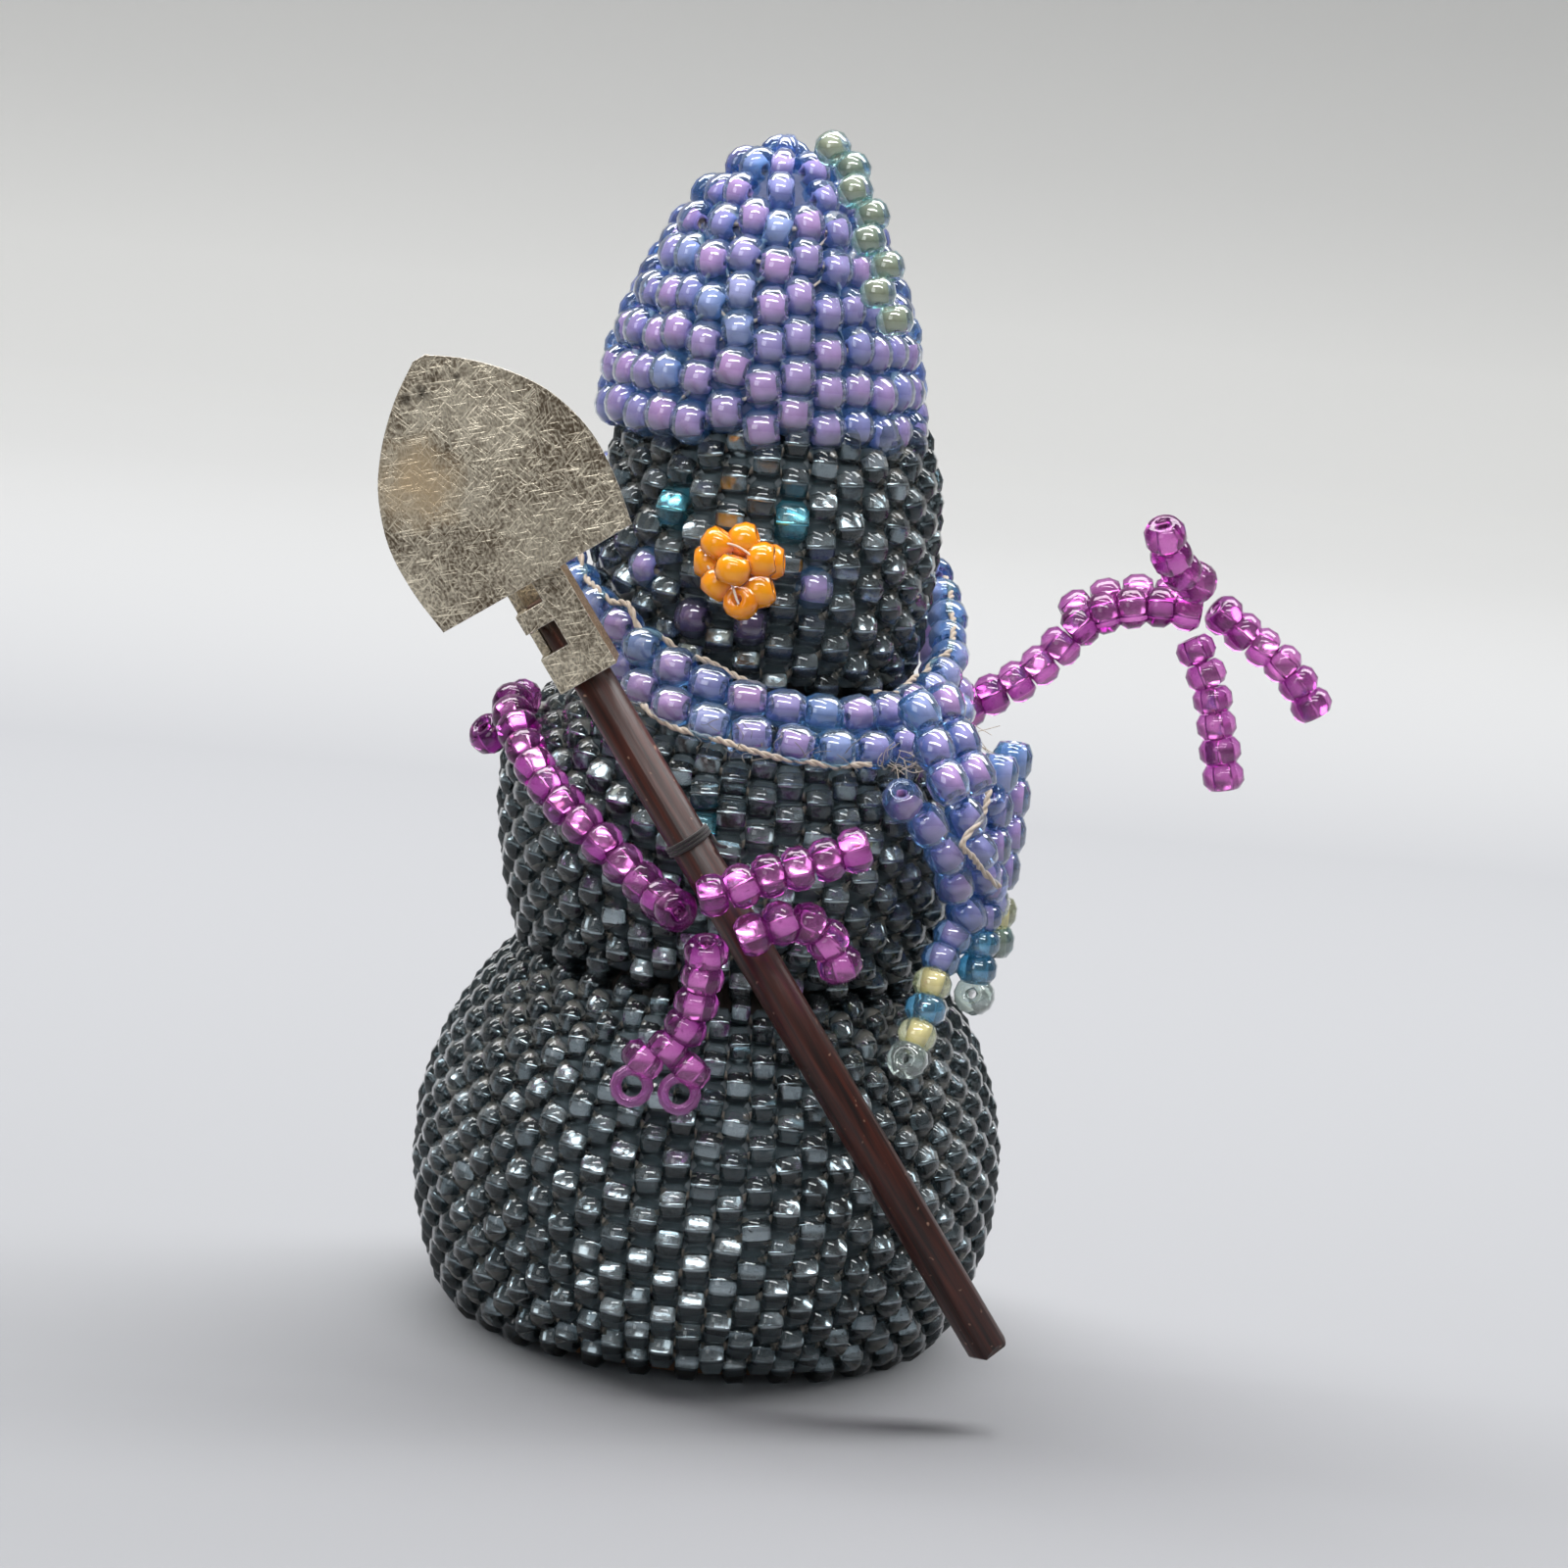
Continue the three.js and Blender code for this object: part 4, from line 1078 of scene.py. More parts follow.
@dataclass(frozen=True)
class Route:
    """A smooth line through points, as a wire bends. Millimetres."""

    points: tuple[Vector, ...]
    facing: Vector = field(default_factory=lambda: Vector((0.05, -1.0, 0.25)))
    samples: ClassVar[int] = 16
    stretch: ClassVar[Pair] = (1.0, 1.06)
    swell: ClassVar[Pair] = (0.96, 1.03)

    def line(self) -> list[Vector]:
        """Gives closely spaced points of the centripetal spline through the route."""
        first = self.points[0] * 2 - self.points[1]
        last = self.points[-1] * 2 - self.points[-2]
        knots = [first, *self.points, last]
        line = []
        for before, start, end, after in zip(knots, knots[1:], knots[2:], knots[3:]):
            for k in range(self.samples):
                line.append(self.between(before, start, end, after, k / self.samples))
        return [*line, self.points[-1]]

    @staticmethod
    def between(before: Vector, start: Vector, end: Vector, after: Vector, share: float) -> Vector:
        """Gives a point of one span.

        Args:
            before: The knot before the span.
            start: The span's start.
            end: The span's end.
            after: The knot after the span.
            share: How far along the span, from 0 to 1.

        Returns:
            The point.
        """
        lead, span, trail = (
            math.sqrt((b - a).length) for a, b in ((before, start), (start, end), (end, after)))
        leave = (start - before) / lead - (end - before) / (lead + span) + (end - start) / span
        reach = (end - start) / span - (after - start) / (span + trail) + (after - end) / trail
        leave, reach = leave * span, reach * span
        square = 3 * (end - start) - 2 * leave - reach
        cube = 2 * (start - end) + leave + reach
        return start + leave * share + square * share ** 2 + cube * share ** 3

    def beads(self, length: float, diameter: float, chance: random.Random) -> list[Bead]:
        """Strings beads on the whole route.

        Args:
            length: About how long each bead is.
            diameter: How thick each bead is.
            chance: The source of small differences.

        Returns:
            The beads from the route's start to its end.
        """
        line = np.array([list(point) for point in self.line()])
        arc = np.concatenate(([0.0], np.cumsum(np.linalg.norm(np.diff(line, axis=0), axis=1))))
        count = max(round(arc[-1] / length), 1)
        ends = [Vector([np.interp(arc[-1] * k / count, arc, line[:, a]) for a in range(3)])
                for k in range(count + 1)]
        made = []
        for start, end in zip(ends, ends[1:]):
            axis = end - start
            made.append(Bead(
                (start + end) / 2, axis, self.facing, axis.length * chance.uniform(*self.stretch),
                diameter * chance.uniform(*self.swell), any_turn(chance), any_tone(chance)))
        return made


def thread(
    name: str, runs: Iterable[Sequence[Vector]], radius: float, finish: Finish, taut: bool = False,
) -> Object:
    """Lays thin round threads through points.

    Args:
        name: The piece's name.
        runs: One list of points, in millimetres, for each thread.
        radius: The thread's radius in millimetres.
        finish: The thread's finish.
        taut: Whether the thread is straight from point to point.

    Returns:
        The piece.
    """
    curve = bpy.data.curves.new(name, "CURVE")
    curve.dimensions = "3D"
    curve.bevel_depth = radius * MM
    curve.bevel_resolution = 1
    curve.resolution_u = 1 if taut else 6
    curve.use_fill_caps = True
    for run in runs:
        spline = curve.splines.new("BEZIER")
        spline.bezier_points.add(len(run) - 1)
        for knot, point in zip(spline.bezier_points, run):
            knot.co = point * MM
            knot.handle_left_type = knot.handle_right_type = "VECTOR" if taut else "AUTO"
    curve.materials.append(finish.material())
    piece = bpy.data.objects.new(name, curve)
    bpy.context.scene.collection.objects.link(piece)
    return piece


def middle_of(node: str) -> Vector:
    """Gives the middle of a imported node's box in millimetres."""
    low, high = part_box(node)
    return (low + high) / (2 * MM)


@dataclass
class Body:
    """The three woven balls over the wooden former, with the face, the button and the pad."""

    bead: float = 2.1
    lower_pitch: float = 1.45
    lower_row: int = 33
    torso_pitch: float = 1.5
    torso_row: int = 26
    torso_turn: float = -9.0
    head_pitch: float = 1.65
    head_row: int = 17
    face_turn: float = -13.4
    feature_length: float = 1.65
    feature_tone: Pair = (0.6, 0.9)
    plump: float = 1.04
    clear: float = 1.0
    proud: float = 0.15
    strand: float = 0.22
    # The two middle mouth beads take the darker, painted-shade glass and paint.
    shaded_mouth_beads: tuple[str, ...] = ("mouth_bead_2", "mouth_bead_3")
    features: dict[str, BeadStock] = field(default_factory=lambda: {
        "button": EYE_BEADS, "right_eye": EYE_BEADS, "left_eye": EYE_BEADS,
        "mouth_bead_1": MOUTH_BEADS, "mouth_bead_2": MOUTH_BEADS,
        "mouth_bead_3": MOUTH_BEADS, "mouth_bead_4": MOUTH_BEADS})
    # The hidden former takes the painted-shade dark wood.
    inside: dict[str, Finish] = field(default_factory=lambda: {
        "wood_core": SHADE_DARK_WOOD, "base_pad": PAD_LEATHER, "shoulder_wire": STEEL_WIRE})

    def build(self, chance: random.Random) -> None:
        """Weaves the balls round the single beads of the face and the button.

        Args:
            chance: The source of small differences.
        """
        balls = (
            ("lower_beadwork", LOWER_BALL, self.lower_pitch, self.lower_row, 0.0),
            ("torso_beadwork", TORSO_BALL, self.torso_pitch, self.torso_row, self.torso_turn),
            ("head_beadwork", HEAD_BALL, self.head_pitch, self.head_row, self.face_turn))
        taken = [middle_of(node) for node in self.features]
        for node, ball, pitch, row_beads, turn in balls:
            weave = Weave(ball.outline(), self.bead, pitch, row_beads, turn)
            woven = weave.beads(chance)
            beads = [bead for bead in woven
                     if all((bead.centre - spot).length > self.clear for spot in taken)]
            LOG.info("%s has %d beads", node, len(beads))
            net = thread(f"{node}_thread", weave.stitches(woven), self.strand, GREY_THREAD, True)
            seat(net, "figure", "dark_thread")
            seat(weave.bed(f"{node}_bed", ASH_THREAD), "figure", "dark_thread")
            BODY_BEADS.string(f"{node}_beads", beads, "figure", "grey_glass", node)
        for node, stock in self.features.items():
            self.set_feature(node, stock, chance)
        self.dress_inside()

    def set_feature(self, node: str, stock: BeadStock, chance: random.Random) -> None:
        """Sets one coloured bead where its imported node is.

        Args:
            node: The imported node.
            stock: The kind of bead.
            chance: The source of small differences.
        """
        centre = middle_of(node)
        azimuth = math.degrees(math.atan2(centre.x, -centre.y))
        slot = "purple_glass" if node.startswith("mouth") else "teal_glass"
        bead = Bead(
            centre + around(azimuth, self.proud, 0), along(azimuth), around(azimuth, 1, 0),
            self.feature_length, self.bead * self.plump, math.pi / 4,
            chance.uniform(*self.feature_tone), int(node in self.shaded_mouth_beads))
        stock.string(f"{node}_glass", [bead], "figure", slot, node)

    def dress_inside(self) -> None:
        """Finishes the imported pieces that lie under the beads."""
        for node, finish in self.inside.items():
            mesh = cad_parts[node].data
            mesh.materials.clear()
            mesh.materials.append(finish.material())
            LOG.info("%s keeps its packed shape", node)


@dataclass
class Nose:
    """A bunch of glossy orange beads, stitched on with pale thread.

    Places and ways are across the nose, forward and up. Each bead but the lowest also has the lean
    of its hole in degrees. A stitch passes midway between two beads, at a share of the full rise.
    """

    azimuth: float = -7.0
    bead: float = 1.8
    thickness: float = 1.4
    proud: float = 0.3
    tones: Pair = (0.2, 0.9)
    places: tuple[tuple[float, float, float, float], ...] = (
        (-1.05, 0.3, 1.15, 60), (0.2, 0.1, 1.45, 20), (1.15, 0.5, 0.65, 10), (1.5, -0.3, 0.5, 5),
        (-0.1, 1.25, 0.1, 80), (-1.5, -0.2, 0.2, 5), (-0.85, 0.4, -0.75, 60),
        (1.2, 0.4, -0.85, 20))
    lowest: Triple = (0.4, 0.9, -1.45)
    lowest_axis: Triple = (-0.3, 0.9, 0.3)
    stitch: float = 0.06
    stitch_rise: float = 0.75
    stitch_runs: tuple[tuple[tuple[int, int, float], ...], ...] = (
        ((0, 0, 1), (0, 1, 1), (2, 2, 1)), ((6, 6, 1), (6, 4, 0.6), (8, 8, 1.1)),
        ((5, 5, 1), (6, 6, 0.8)))

    def way(self, across: float, forward: float, up: float) -> Vector:
        """Gives a step on the nose's own axes."""
        return along(self.azimuth) * across + around(self.azimuth, 1, 0) * forward + UP * up

    def bunch(self, chance: random.Random) -> list[Bead]:
        """Gives the nose's beads.

        Args:
            chance: The source of small differences.

        Returns:
            The beads, with the lowest last.
        """
        height = middle_of("carrot_nose").z
        root = around(self.azimuth, HEAD_BALL.radius(height) + self.bead / 2 + self.proud, height)
        seats = []
        for *place, lean in self.places:
            angle = math.radians(lean)
            seats.append((place, self.way(math.cos(angle), 0, math.sin(angle)), self.way(0, 1, 0)))
        seats.append((self.lowest, self.way(*self.lowest_axis), UP))
        return [Bead(root + self.way(*place), axis, facing, self.thickness, self.bead, 0,
                     chance.uniform(*self.tones)) for place, axis, facing in seats]

    def build(self, chance: random.Random) -> None:
        """Bunches the beads and lays the stitches between them.

        The bunch is kept out of the silver linings' mirrors, which would spot the face with brown.

        Args:
            chance: The source of small differences.
        """
        beads = self.bunch(chance)
        nose = NOSE_BEADS.string("carrot_nose_beads", beads, "figure", "orange_glass", "carrot_nose")
        nose.visible_glossy = False
        out = self.way(0, self.stitch_rise, 0)
        runs = [[(beads[one].centre + beads[other].centre) / 2 + out * share
                 for one, other, share in run] for run in self.stitch_runs]
        seat(thread("nose_stitches", runs, self.stitch, PALE_THREAD), "figure", "dark_thread")


@dataclass
class Hat:
    """The tapering cap of lustred beads, with its short tassel."""

    bead: float = 2.1
    plump: float = 1.12
    sky_share: float = 0.1
    pitch: float = 1.74
    row_beads: int = 14
    shift: float = 0.12
    tilt: float = 0.12
    squeeze: float = 0.85
    radius: float = 8.4
    base: float = 46.9
    side: float = 4.6
    crown: float = 4.5
    tip: float = 60.8
    offset: float = -0.9
    tassel_azimuth: float = 43.0
    tassel_length: float = 10.0
    tassel_bead: float = 1.85
    tassel_pitch: float = 1.42
    tassel_sway: float = 0.55
    least_sway: float = 0.3
    lift: float = 1.25
    strand: float = 0.11
    bare_rows: int = 6
    tassel_knots: ClassVar[int] = 5
    samples: ClassVar[int] = 160

    def outline(self) -> Turned:
        """Gives the cap's outline from its brim to its tip."""
        share = np.linspace(0, 1, self.samples)
        rest = 1 - share
        weights = (rest ** 3, 3 * share * rest ** 2, 3 * share ** 2 * rest, share ** 3)
        radii = (self.radius, self.radius, self.crown, 0.0)
        heights = (self.base, self.base + self.side, self.tip, self.tip)
        radius = sum(w * r for w, r in zip(weights, radii))
        height = sum(w * h for w, h in zip(weights, heights))
        return Turned(radius, height)

    def build(self, chance: random.Random) -> None:
        """Weaves the cap and strings the tassel.

        Args:
            chance: The source of small differences.
        """
        outline = self.outline()
        weave = Weave(
            outline, self.bead, self.pitch, self.row_beads, 0.0, self.offset, corner=0.0,
            shift=self.shift, tilt=self.tilt, squeeze=self.squeeze, settled=True)
        beads = weave.beads(chance)
        for bead in beads:
            bead.length, bead.diameter = bead.length * self.plump, bead.diameter * self.plump
            bead.colour = int(chance.random() < self.sky_share)
        LUSTRE_BEADS.string("hat_beads", beads, "figure", "blue_lustre", "hat")
        net = thread(
            "hat_thread", weave.stitches(beads)[:-self.bare_rows], self.strand, TAN_THREAD, True)
        seat(net, "figure", "dark_thread")
        seat(weave.bed("hat_bed", SLATE_THREAD), "figure", "dark_thread")
        self.hang_tassel(outline, chance)

    def hang_tassel(self, outline: Turned, chance: random.Random) -> None:
        """Strings the tassel down the cap from near its tip, a little out of line.

        Args:
            outline: The cap's outline.
            chance: The source of small differences.
        """
        top = outline.arc[-1] - 2 * self.lift
        knots = []
        for share in np.linspace(0, 1, self.tassel_knots):
            radius, height, out, rise = outline.place(top - self.tassel_length * share)
            place = around(self.tassel_azimuth, radius + out * self.lift, height + rise * self.lift)
            knots.append(place + Vector((self.offset, 0, 0)))
        tassel = Route(tuple(knots)).beads(self.tassel_pitch, self.tassel_bead, chance)
        for number, bead in enumerate(tassel):
            sway = self.tassel_sway * (1 if number % 2 else -1) * chance.uniform(self.least_sway, 1)
            bead.centre += along(self.tassel_azimuth) * sway
        TASSEL_BEADS.string("hat_tassel_beads", tassel, "hat_tassel", "green_lustre", "hat_tassel")


class FringeColour(IntEnum):
    """Colours of the fringe beads, in the order of their glass."""

    BLUE = 0
    STRAW = 1
    AZURE = 2
    CLEAR = 3
    SEA = 4


@dataclass
class Scarf:
    """A strip of lustred beads two wide, with its knot, two tails and their fringes.

    Spread, fit, row pitch and edge place are shares of a bead's width. An edge run is (side, first
    azimuth, last azimuth), and a fray is (name, finish, first azimuth, last azimuth, count, length).
    """

    bead: float = 2.05
    length: float = 1.85
    gap: float = 0.3
    ease: float = 0.35
    pull: float = 0.6
    rise: float = 3.7
    dip: float = 4.9
    dip_azimuth: float = 25.0
    knot_azimuth: float = 41.0
    back_azimuth: float = 66.0
    knot_rise: float = 0.5
    rows: int = 4
    stagger: float = 0.2
    spread: float = 0.475
    fit: float = 0.97
    wobble: float = 0.1
    tilt: float = 0.12
    swell: Pair = (0.97, 1.03)
    sky_share: float = 0.25
    knot_rows: tuple[float, ...] = (0.6, 1.6, 2.5)
    row_pitch: float = 0.9
    front_places: tuple[Triple, ...] = (
        (34.5, 29.9, 0), (40.2, 28.7, 0.1), (46, 27.2, 0), (50, 29, 0.35), (53.5, 27.4, 0.45),
        (59.5, 29.6, 0.1), (58, 26, 0.3), (51, 25.6, -0.1), (57, 23.9, 0.1), (65.5, 24.4, 0.2))
    front_axis: Pair = (0.5, -0.6)
    front_sway: float = 0.25
    front_run: tuple[Triple, ...] = (
        (11.4, -7.4, 23.2), (10.6, -8.4, 21.8), (10.2, -9.2, 20.2), (10, -9.8, 18.9),
        (9.6, -10.4, 17.7), (9.2, -11, 16.4))
    tail_thread: tuple[Pair, ...] = (
        (57, 31.2), (54, 30.2), (51, 29.2), (44.5, 28), (48, 27.3), (52, 26.6), (61, 25.2))
    fringe_column: float = 0.55
    fringe_bead: float = 2.05
    fringe_pitch: float = 1.42
    long_fringe: float = 5.4
    short_fringe: float = 3.0
    front_colours: tuple[FringeColour, ...] = (
        FringeColour.BLUE, FringeColour.BLUE, FringeColour.STRAW, FringeColour.AZURE,
        FringeColour.STRAW, FringeColour.CLEAR)
    long_colours: tuple[FringeColour, ...] = (
        FringeColour.BLUE, FringeColour.AZURE, FringeColour.AZURE, FringeColour.CLEAR)
    short_colours: tuple[FringeColour, ...] = (FringeColour.STRAW, FringeColour.SEA)
    tip_axis: Triple = (-0.35, -0.85, 0.3)
    edge_thread: float = 0.1
    edge_runs: tuple[tuple[int, int, int], ...] = ((1, -80, 8), (-1, -35, 34), (1, 36, 118))
    edge_step: int = 6
    edge_place: float = 0.93
    edge_wander: float = 0.15
    edge_depth: Pair = (-0.2, 0.45)
    tail_slack: float = 0.3
    ply_step: int = 3
    ply_turn: float = 1.3
    ply_spread: float = 0.8
    fibre: float = 0.02
    fibre_root: Pair = (0.6, 1.3)
    fibre_rise: float = 0.6
    fibre_droop: Pair = (-1, 0.4)
    fibre_bends: int = 3
    fibre_wander: float = 0.7
    fibre_step: Pair = (0.4, 1)
    frays: tuple[tuple[str, Finish, float, float, int, float], ...] = (
        ("scarf_fibres", TAN_THREAD, 28, 60, 40, 0.8),
        ("neck_fibres", GREY_THREAD, -60, 45, 55, 0.55))
    samples: ClassVar[int] = 720

    @property
    def lift(self) -> float:
        """Gives the distance of the strip's middle from the body."""
        return self.gap + self.ease + self.bead / 2

    def station(self, azimuth: float) -> tuple[Vector, Vector, Vector]:
        """Finds the strip's place at an azimuth.

        Args:
            azimuth: Azimuth in degrees.

        Returns:
            The strip's middle, the way across it and the way out of it.
        """
        dip = self.dip * math.cos(math.radians(azimuth - self.dip_azimuth))
        height = NECK_HEIGHT + self.rise - dip
        low, high = height - self.length, height + self.length
        low_radius, high_radius = body_radius(low) + self.lift, body_radius(high) + self.lift
        across = around(azimuth, high_radius - low_radius, high - low).normalized()
        centre = around(azimuth, (low_radius + high_radius) / 2, height)
        return centre, across, along(azimuth).cross(across)

    def pair(self, centre: Vector, across: Vector, out: Vector, chance: random.Random) -> list[Bead]:
        """Sets the two beads of one row of the strip.

        Args:
            centre: The row's middle.
            across: The way across the strip, square to the holes.
            out: The way out of the strip.
            chance: The source of small differences.

        Returns:
            The two beads.
        """
        return [Bead(
            centre + across * side * self.bead * self.spread
            + out * chance.uniform(-self.wobble, self.wobble)
            + out.cross(across) * side * self.stagger,
            out.cross(across) + across * chance.gauss(0, self.tilt), out, self.bead * self.fit,
            self.bead * chance.uniform(*self.swell), any_turn(chance), any_tone(chance),
            int(chance.random() < self.sky_share)) for side in (-1, 1)]

    def wrap(self, chance: random.Random) -> list[Bead]:
        """Gives the beads of the strip round the neck, evenly spaced along it."""
        turns = np.linspace(0, 360, self.samples + 1)
        middles = np.array([list(self.station(turn)[0]) for turn in turns])
        arc = np.concatenate(([0.0], np.cumsum(np.linalg.norm(np.diff(middles, axis=0), axis=1))))
        count = round(arc[-1] / self.bead)
        places = [float(np.interp(arc[-1] * k / count, arc, turns)) for k in range(count)]
        return [bead for turn in places for bead in self.pair(*self.drawn(turn), chance)]

    def drawn(self, azimuth: float) -> tuple[Vector, Vector, Vector]:
        """Gives the strip's place at an azimuth, drawn in to the neck on the left side."""
        centre, across, out = self.station(azimuth)
        inward = self.pull * max(math.sin(math.radians(azimuth)), 0)
        return centre - around(azimuth, inward, 0), across, out

    def knot_row(self, down: float) -> tuple[Vector, Vector, Vector]:
        """Finds a row of the knot, which crosses over the wrap.

        Args:
            down: How many rows down the knot.

        Returns:
            The row's middle, the way across it and the way out of it.
        """
        centre, across, out = self.station(self.knot_azimuth)
        middle = centre + out * (self.bead + self.gap) + across * (self.knot_rise - down) * self.bead
        return middle, along(self.knot_azimuth), out

    def tail_line(self, start: Vector) -> tuple[Vector, Vector]:
        """Finds the straight line that the back tail hangs on, as (radius, height) points.

        Args:
            start: The tail's upper end.

        Returns:
            The tail's ends.
        """
        drop = self.rows * self.bead * self.row_pitch
        heights = (start.y - drop, start.y - drop / 2, TORSO_BALL.wide[1])
        radius = max(body_radius(height) + self.lift for height in heights)
        return start, Vector((radius, start.y - drop))

    def back_tail(self, ends: tuple[Vector, Vector], chance: random.Random) -> list[Bead]:
        """Sets the beads of the back tail.

        Args:
            ends: Its ends as (radius, height) points.
            chance: The source of small differences.

        Returns:
            The beads.
        """
        slope = (ends[1] - ends[0]).normalized()
        out = around(self.back_azimuth, -slope.y, slope.x)
        beads = []
        for row in range(self.rows):
            place = ends[0].lerp(ends[1], (row + 0.5) / self.rows)
            middle = around(self.back_azimuth, place.x, place.y)
            beads += self.pair(middle, along(self.back_azimuth), out, chance)
        return beads

    def fringe(self, end: Vector, column: float, length: float, chance: random.Random) -> list[Bead]:
        """Strings one fringe strand under the back tail.

        Args:
            end: The tail's lower end as a (radius, height) point.
            column: Its place across the tail, in bead lengths.
            length: Its length.
            chance: The source of small differences.

        Returns:
            The beads.
        """
        top = end.y - self.gap
        radius = max(end.x, body_radius(top - length) + self.lift)
        sideways = along(self.back_azimuth) * column * self.length
        start = around(self.back_azimuth, end.x, top) + sideways
        tip = around(self.back_azimuth, radius, top - length) + sideways
        return Route((start, start.lerp(tip, 0.5), tip)).beads(
            self.fringe_pitch, self.fringe_bead, chance)

    def build(self, chance: random.Random) -> None:
        """Makes the wrap, the knot, both tails and the fringes.

        Args:
            chance: The source of small differences.
        """
        wrap = self.wrap(chance)
        LUSTRE_BEADS.string("scarf_wrap_beads", wrap, "figure", "blue_lustre", "scarf_wrap")
        knot = [bead for row in self.knot_rows for bead in self.pair(*self.knot_row(row), chance)]
        LUSTRE_BEADS.string("scarf_knot_beads", knot, "figure", "blue_lustre", "scarf_knot")
        middle, across, _ = self.station(self.back_azimuth)
        edge = middle - across * self.length
        back_radius = max(edge.xy.length, TORSO_BALL.wide[0] + self.lift)
        back = self.tail_line(Vector((back_radius, edge.z - self.gap)))
        long = self.fringe(back[1], -self.fringe_column, self.long_fringe, chance)
        short = self.fringe(back[1], self.fringe_column, self.short_fringe, chance)
        front = Route(tuple(Vector(place) for place in self.front_run)).beads(
            self.fringe_pitch, self.fringe_bead, chance)
        front_beads = self.front_tail(chance)
        back_beads = self.back_tail(back, chance)
        self.hang("front_tail", front_beads, {"front_fringe": (front, self.front_colours)})
        self.hang("back_tail", back_beads, {
            "back_fringe_long": (long, self.long_colours),
            "back_fringe_short": (short, self.short_colours)})
        self.bind(chance)
        self.fray(chance)

    def hang(
        self, body: str, tail: Sequence[Bead],
        fringes: dict[str, tuple[Sequence[Bead], Sequence[FringeColour]]],
    ) -> None:
        """Strings a tail with its fringes; a clear bead at a fringe's tip shows its hole.

        Args:
            body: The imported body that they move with.
            tail: The tail's beads.
            fringes: The beads of each fringe node, and their colours.
        """
        LUSTRE_BEADS.string(f"scarf_{body}_beads", tail, body, "blue_lustre", f"scarf_{body}")
        for node, (strand, colours) in fringes.items():
            for bead, colour in zip(strand, colours):
                bead.colour = int(colour)
            if colours[-1] is FringeColour.CLEAR:
                strand[-1].axis, strand[-1].outward = Vector(self.tip_axis), UP
            FRINGE_BEADS.string(f"{node}_beads", strand, body, "fringe_glass", node)

    def front_tail(self, chance: random.Random) -> list[Bead]:
        """Bunches the beads of the front tail against the body, as they hang in the photograph."""
        level, upward = self.front_axis
        beads = []
        for azimuth, height, extra in self.front_places:
            out = around(azimuth, 1, 0)
            axis = along(azimuth) * level + UP * upward + out * chance.gauss(0, self.front_sway)
            beads.append(Bead(
                around(azimuth, body_radius(height) + self.lift + extra, height), axis, out,
                self.bead * self.fit, self.bead, any_turn(chance), any_tone(chance),
                int(chance.random() < self.sky_share)))
        return beads

    def bind(self, chance: random.Random) -> None:
        """Lays the tan thread along the strip's edges and down the front tail.

        Args:
            chance: The source of small differences.
        """
        edges = []
        for side, first, last in self.edge_runs:
            run = []
            for azimuth in range(first, last, self.edge_step):
                centre, across, out = self.drawn(azimuth)
                aside = self.bead * self.edge_place + chance.gauss(0, self.edge_wander)
                run.append(centre + across * side * aside + out * chance.uniform(*self.edge_depth))
            edges.append(run)
        over = self.lift + self.bead / 2 + self.edge_thread
        line = [
            around(azimuth, body_radius(height) + over + chance.uniform(0, self.tail_slack), height)
            for azimuth, height in self.tail_thread]
        for name, runs, body in (
            ("scarf_thread", edges, "figure"), ("front_tail_thread", [line], "front_tail"),
        ):
            seat(thread(name, self.plied(runs), self.edge_thread, TAN_THREAD), body, "dark_thread")

    def plied(self, runs: Iterable[Sequence[Vector]]) -> list[list[Vector]]:
        """Twists every thread from two plies.

        Args:
            runs: One list of points for each thread.

        Returns:
            The points of each ply.
        """
        plies = []
        for run in runs:
            line = Route(tuple(run)).line()[::self.ply_step]
            for start in (0.0, math.pi):
                ply = []
                for number, (point, after) in enumerate(zip(line, line[1:])):
                    ahead = (after - point).normalized()
                    side = ahead.cross(UP).normalized()
                    turn = start + number * self.ply_turn
                    offset = side * math.cos(turn) + ahead.cross(side) * math.sin(turn)
                    ply.append(point + offset * self.edge_thread * self.ply_spread)
                plies.append(ply)
        return plies

    def fray(self, chance: random.Random) -> None:
        """Scatters loose fibres of thread round the knot and under the strip.

        Args:
            chance: The source of small differences.
        """
        for name, finish, first, last, count, length in self.frays:
            runs = []
            for _ in range(count):
                centre, across, out = self.station(chance.uniform(first, last))
                below = chance.uniform(*self.fibre_root) * self.bead
                point = centre - across * below + out * self.fibre_rise
                run = [point]
                heading = out + across * chance.uniform(*self.fibre_droop)
                for _ in range(self.fibre_bends):
                    heading = heading + Vector([chance.gauss(0, self.fibre_wander) for _ in range(3)])
                    point = point + heading.normalized() * length * chance.uniform(*self.fibre_step)
                    run.append(point)
                runs.append(run)
            seat(thread(name, runs, self.fibre, finish), "figure", "dark_thread")


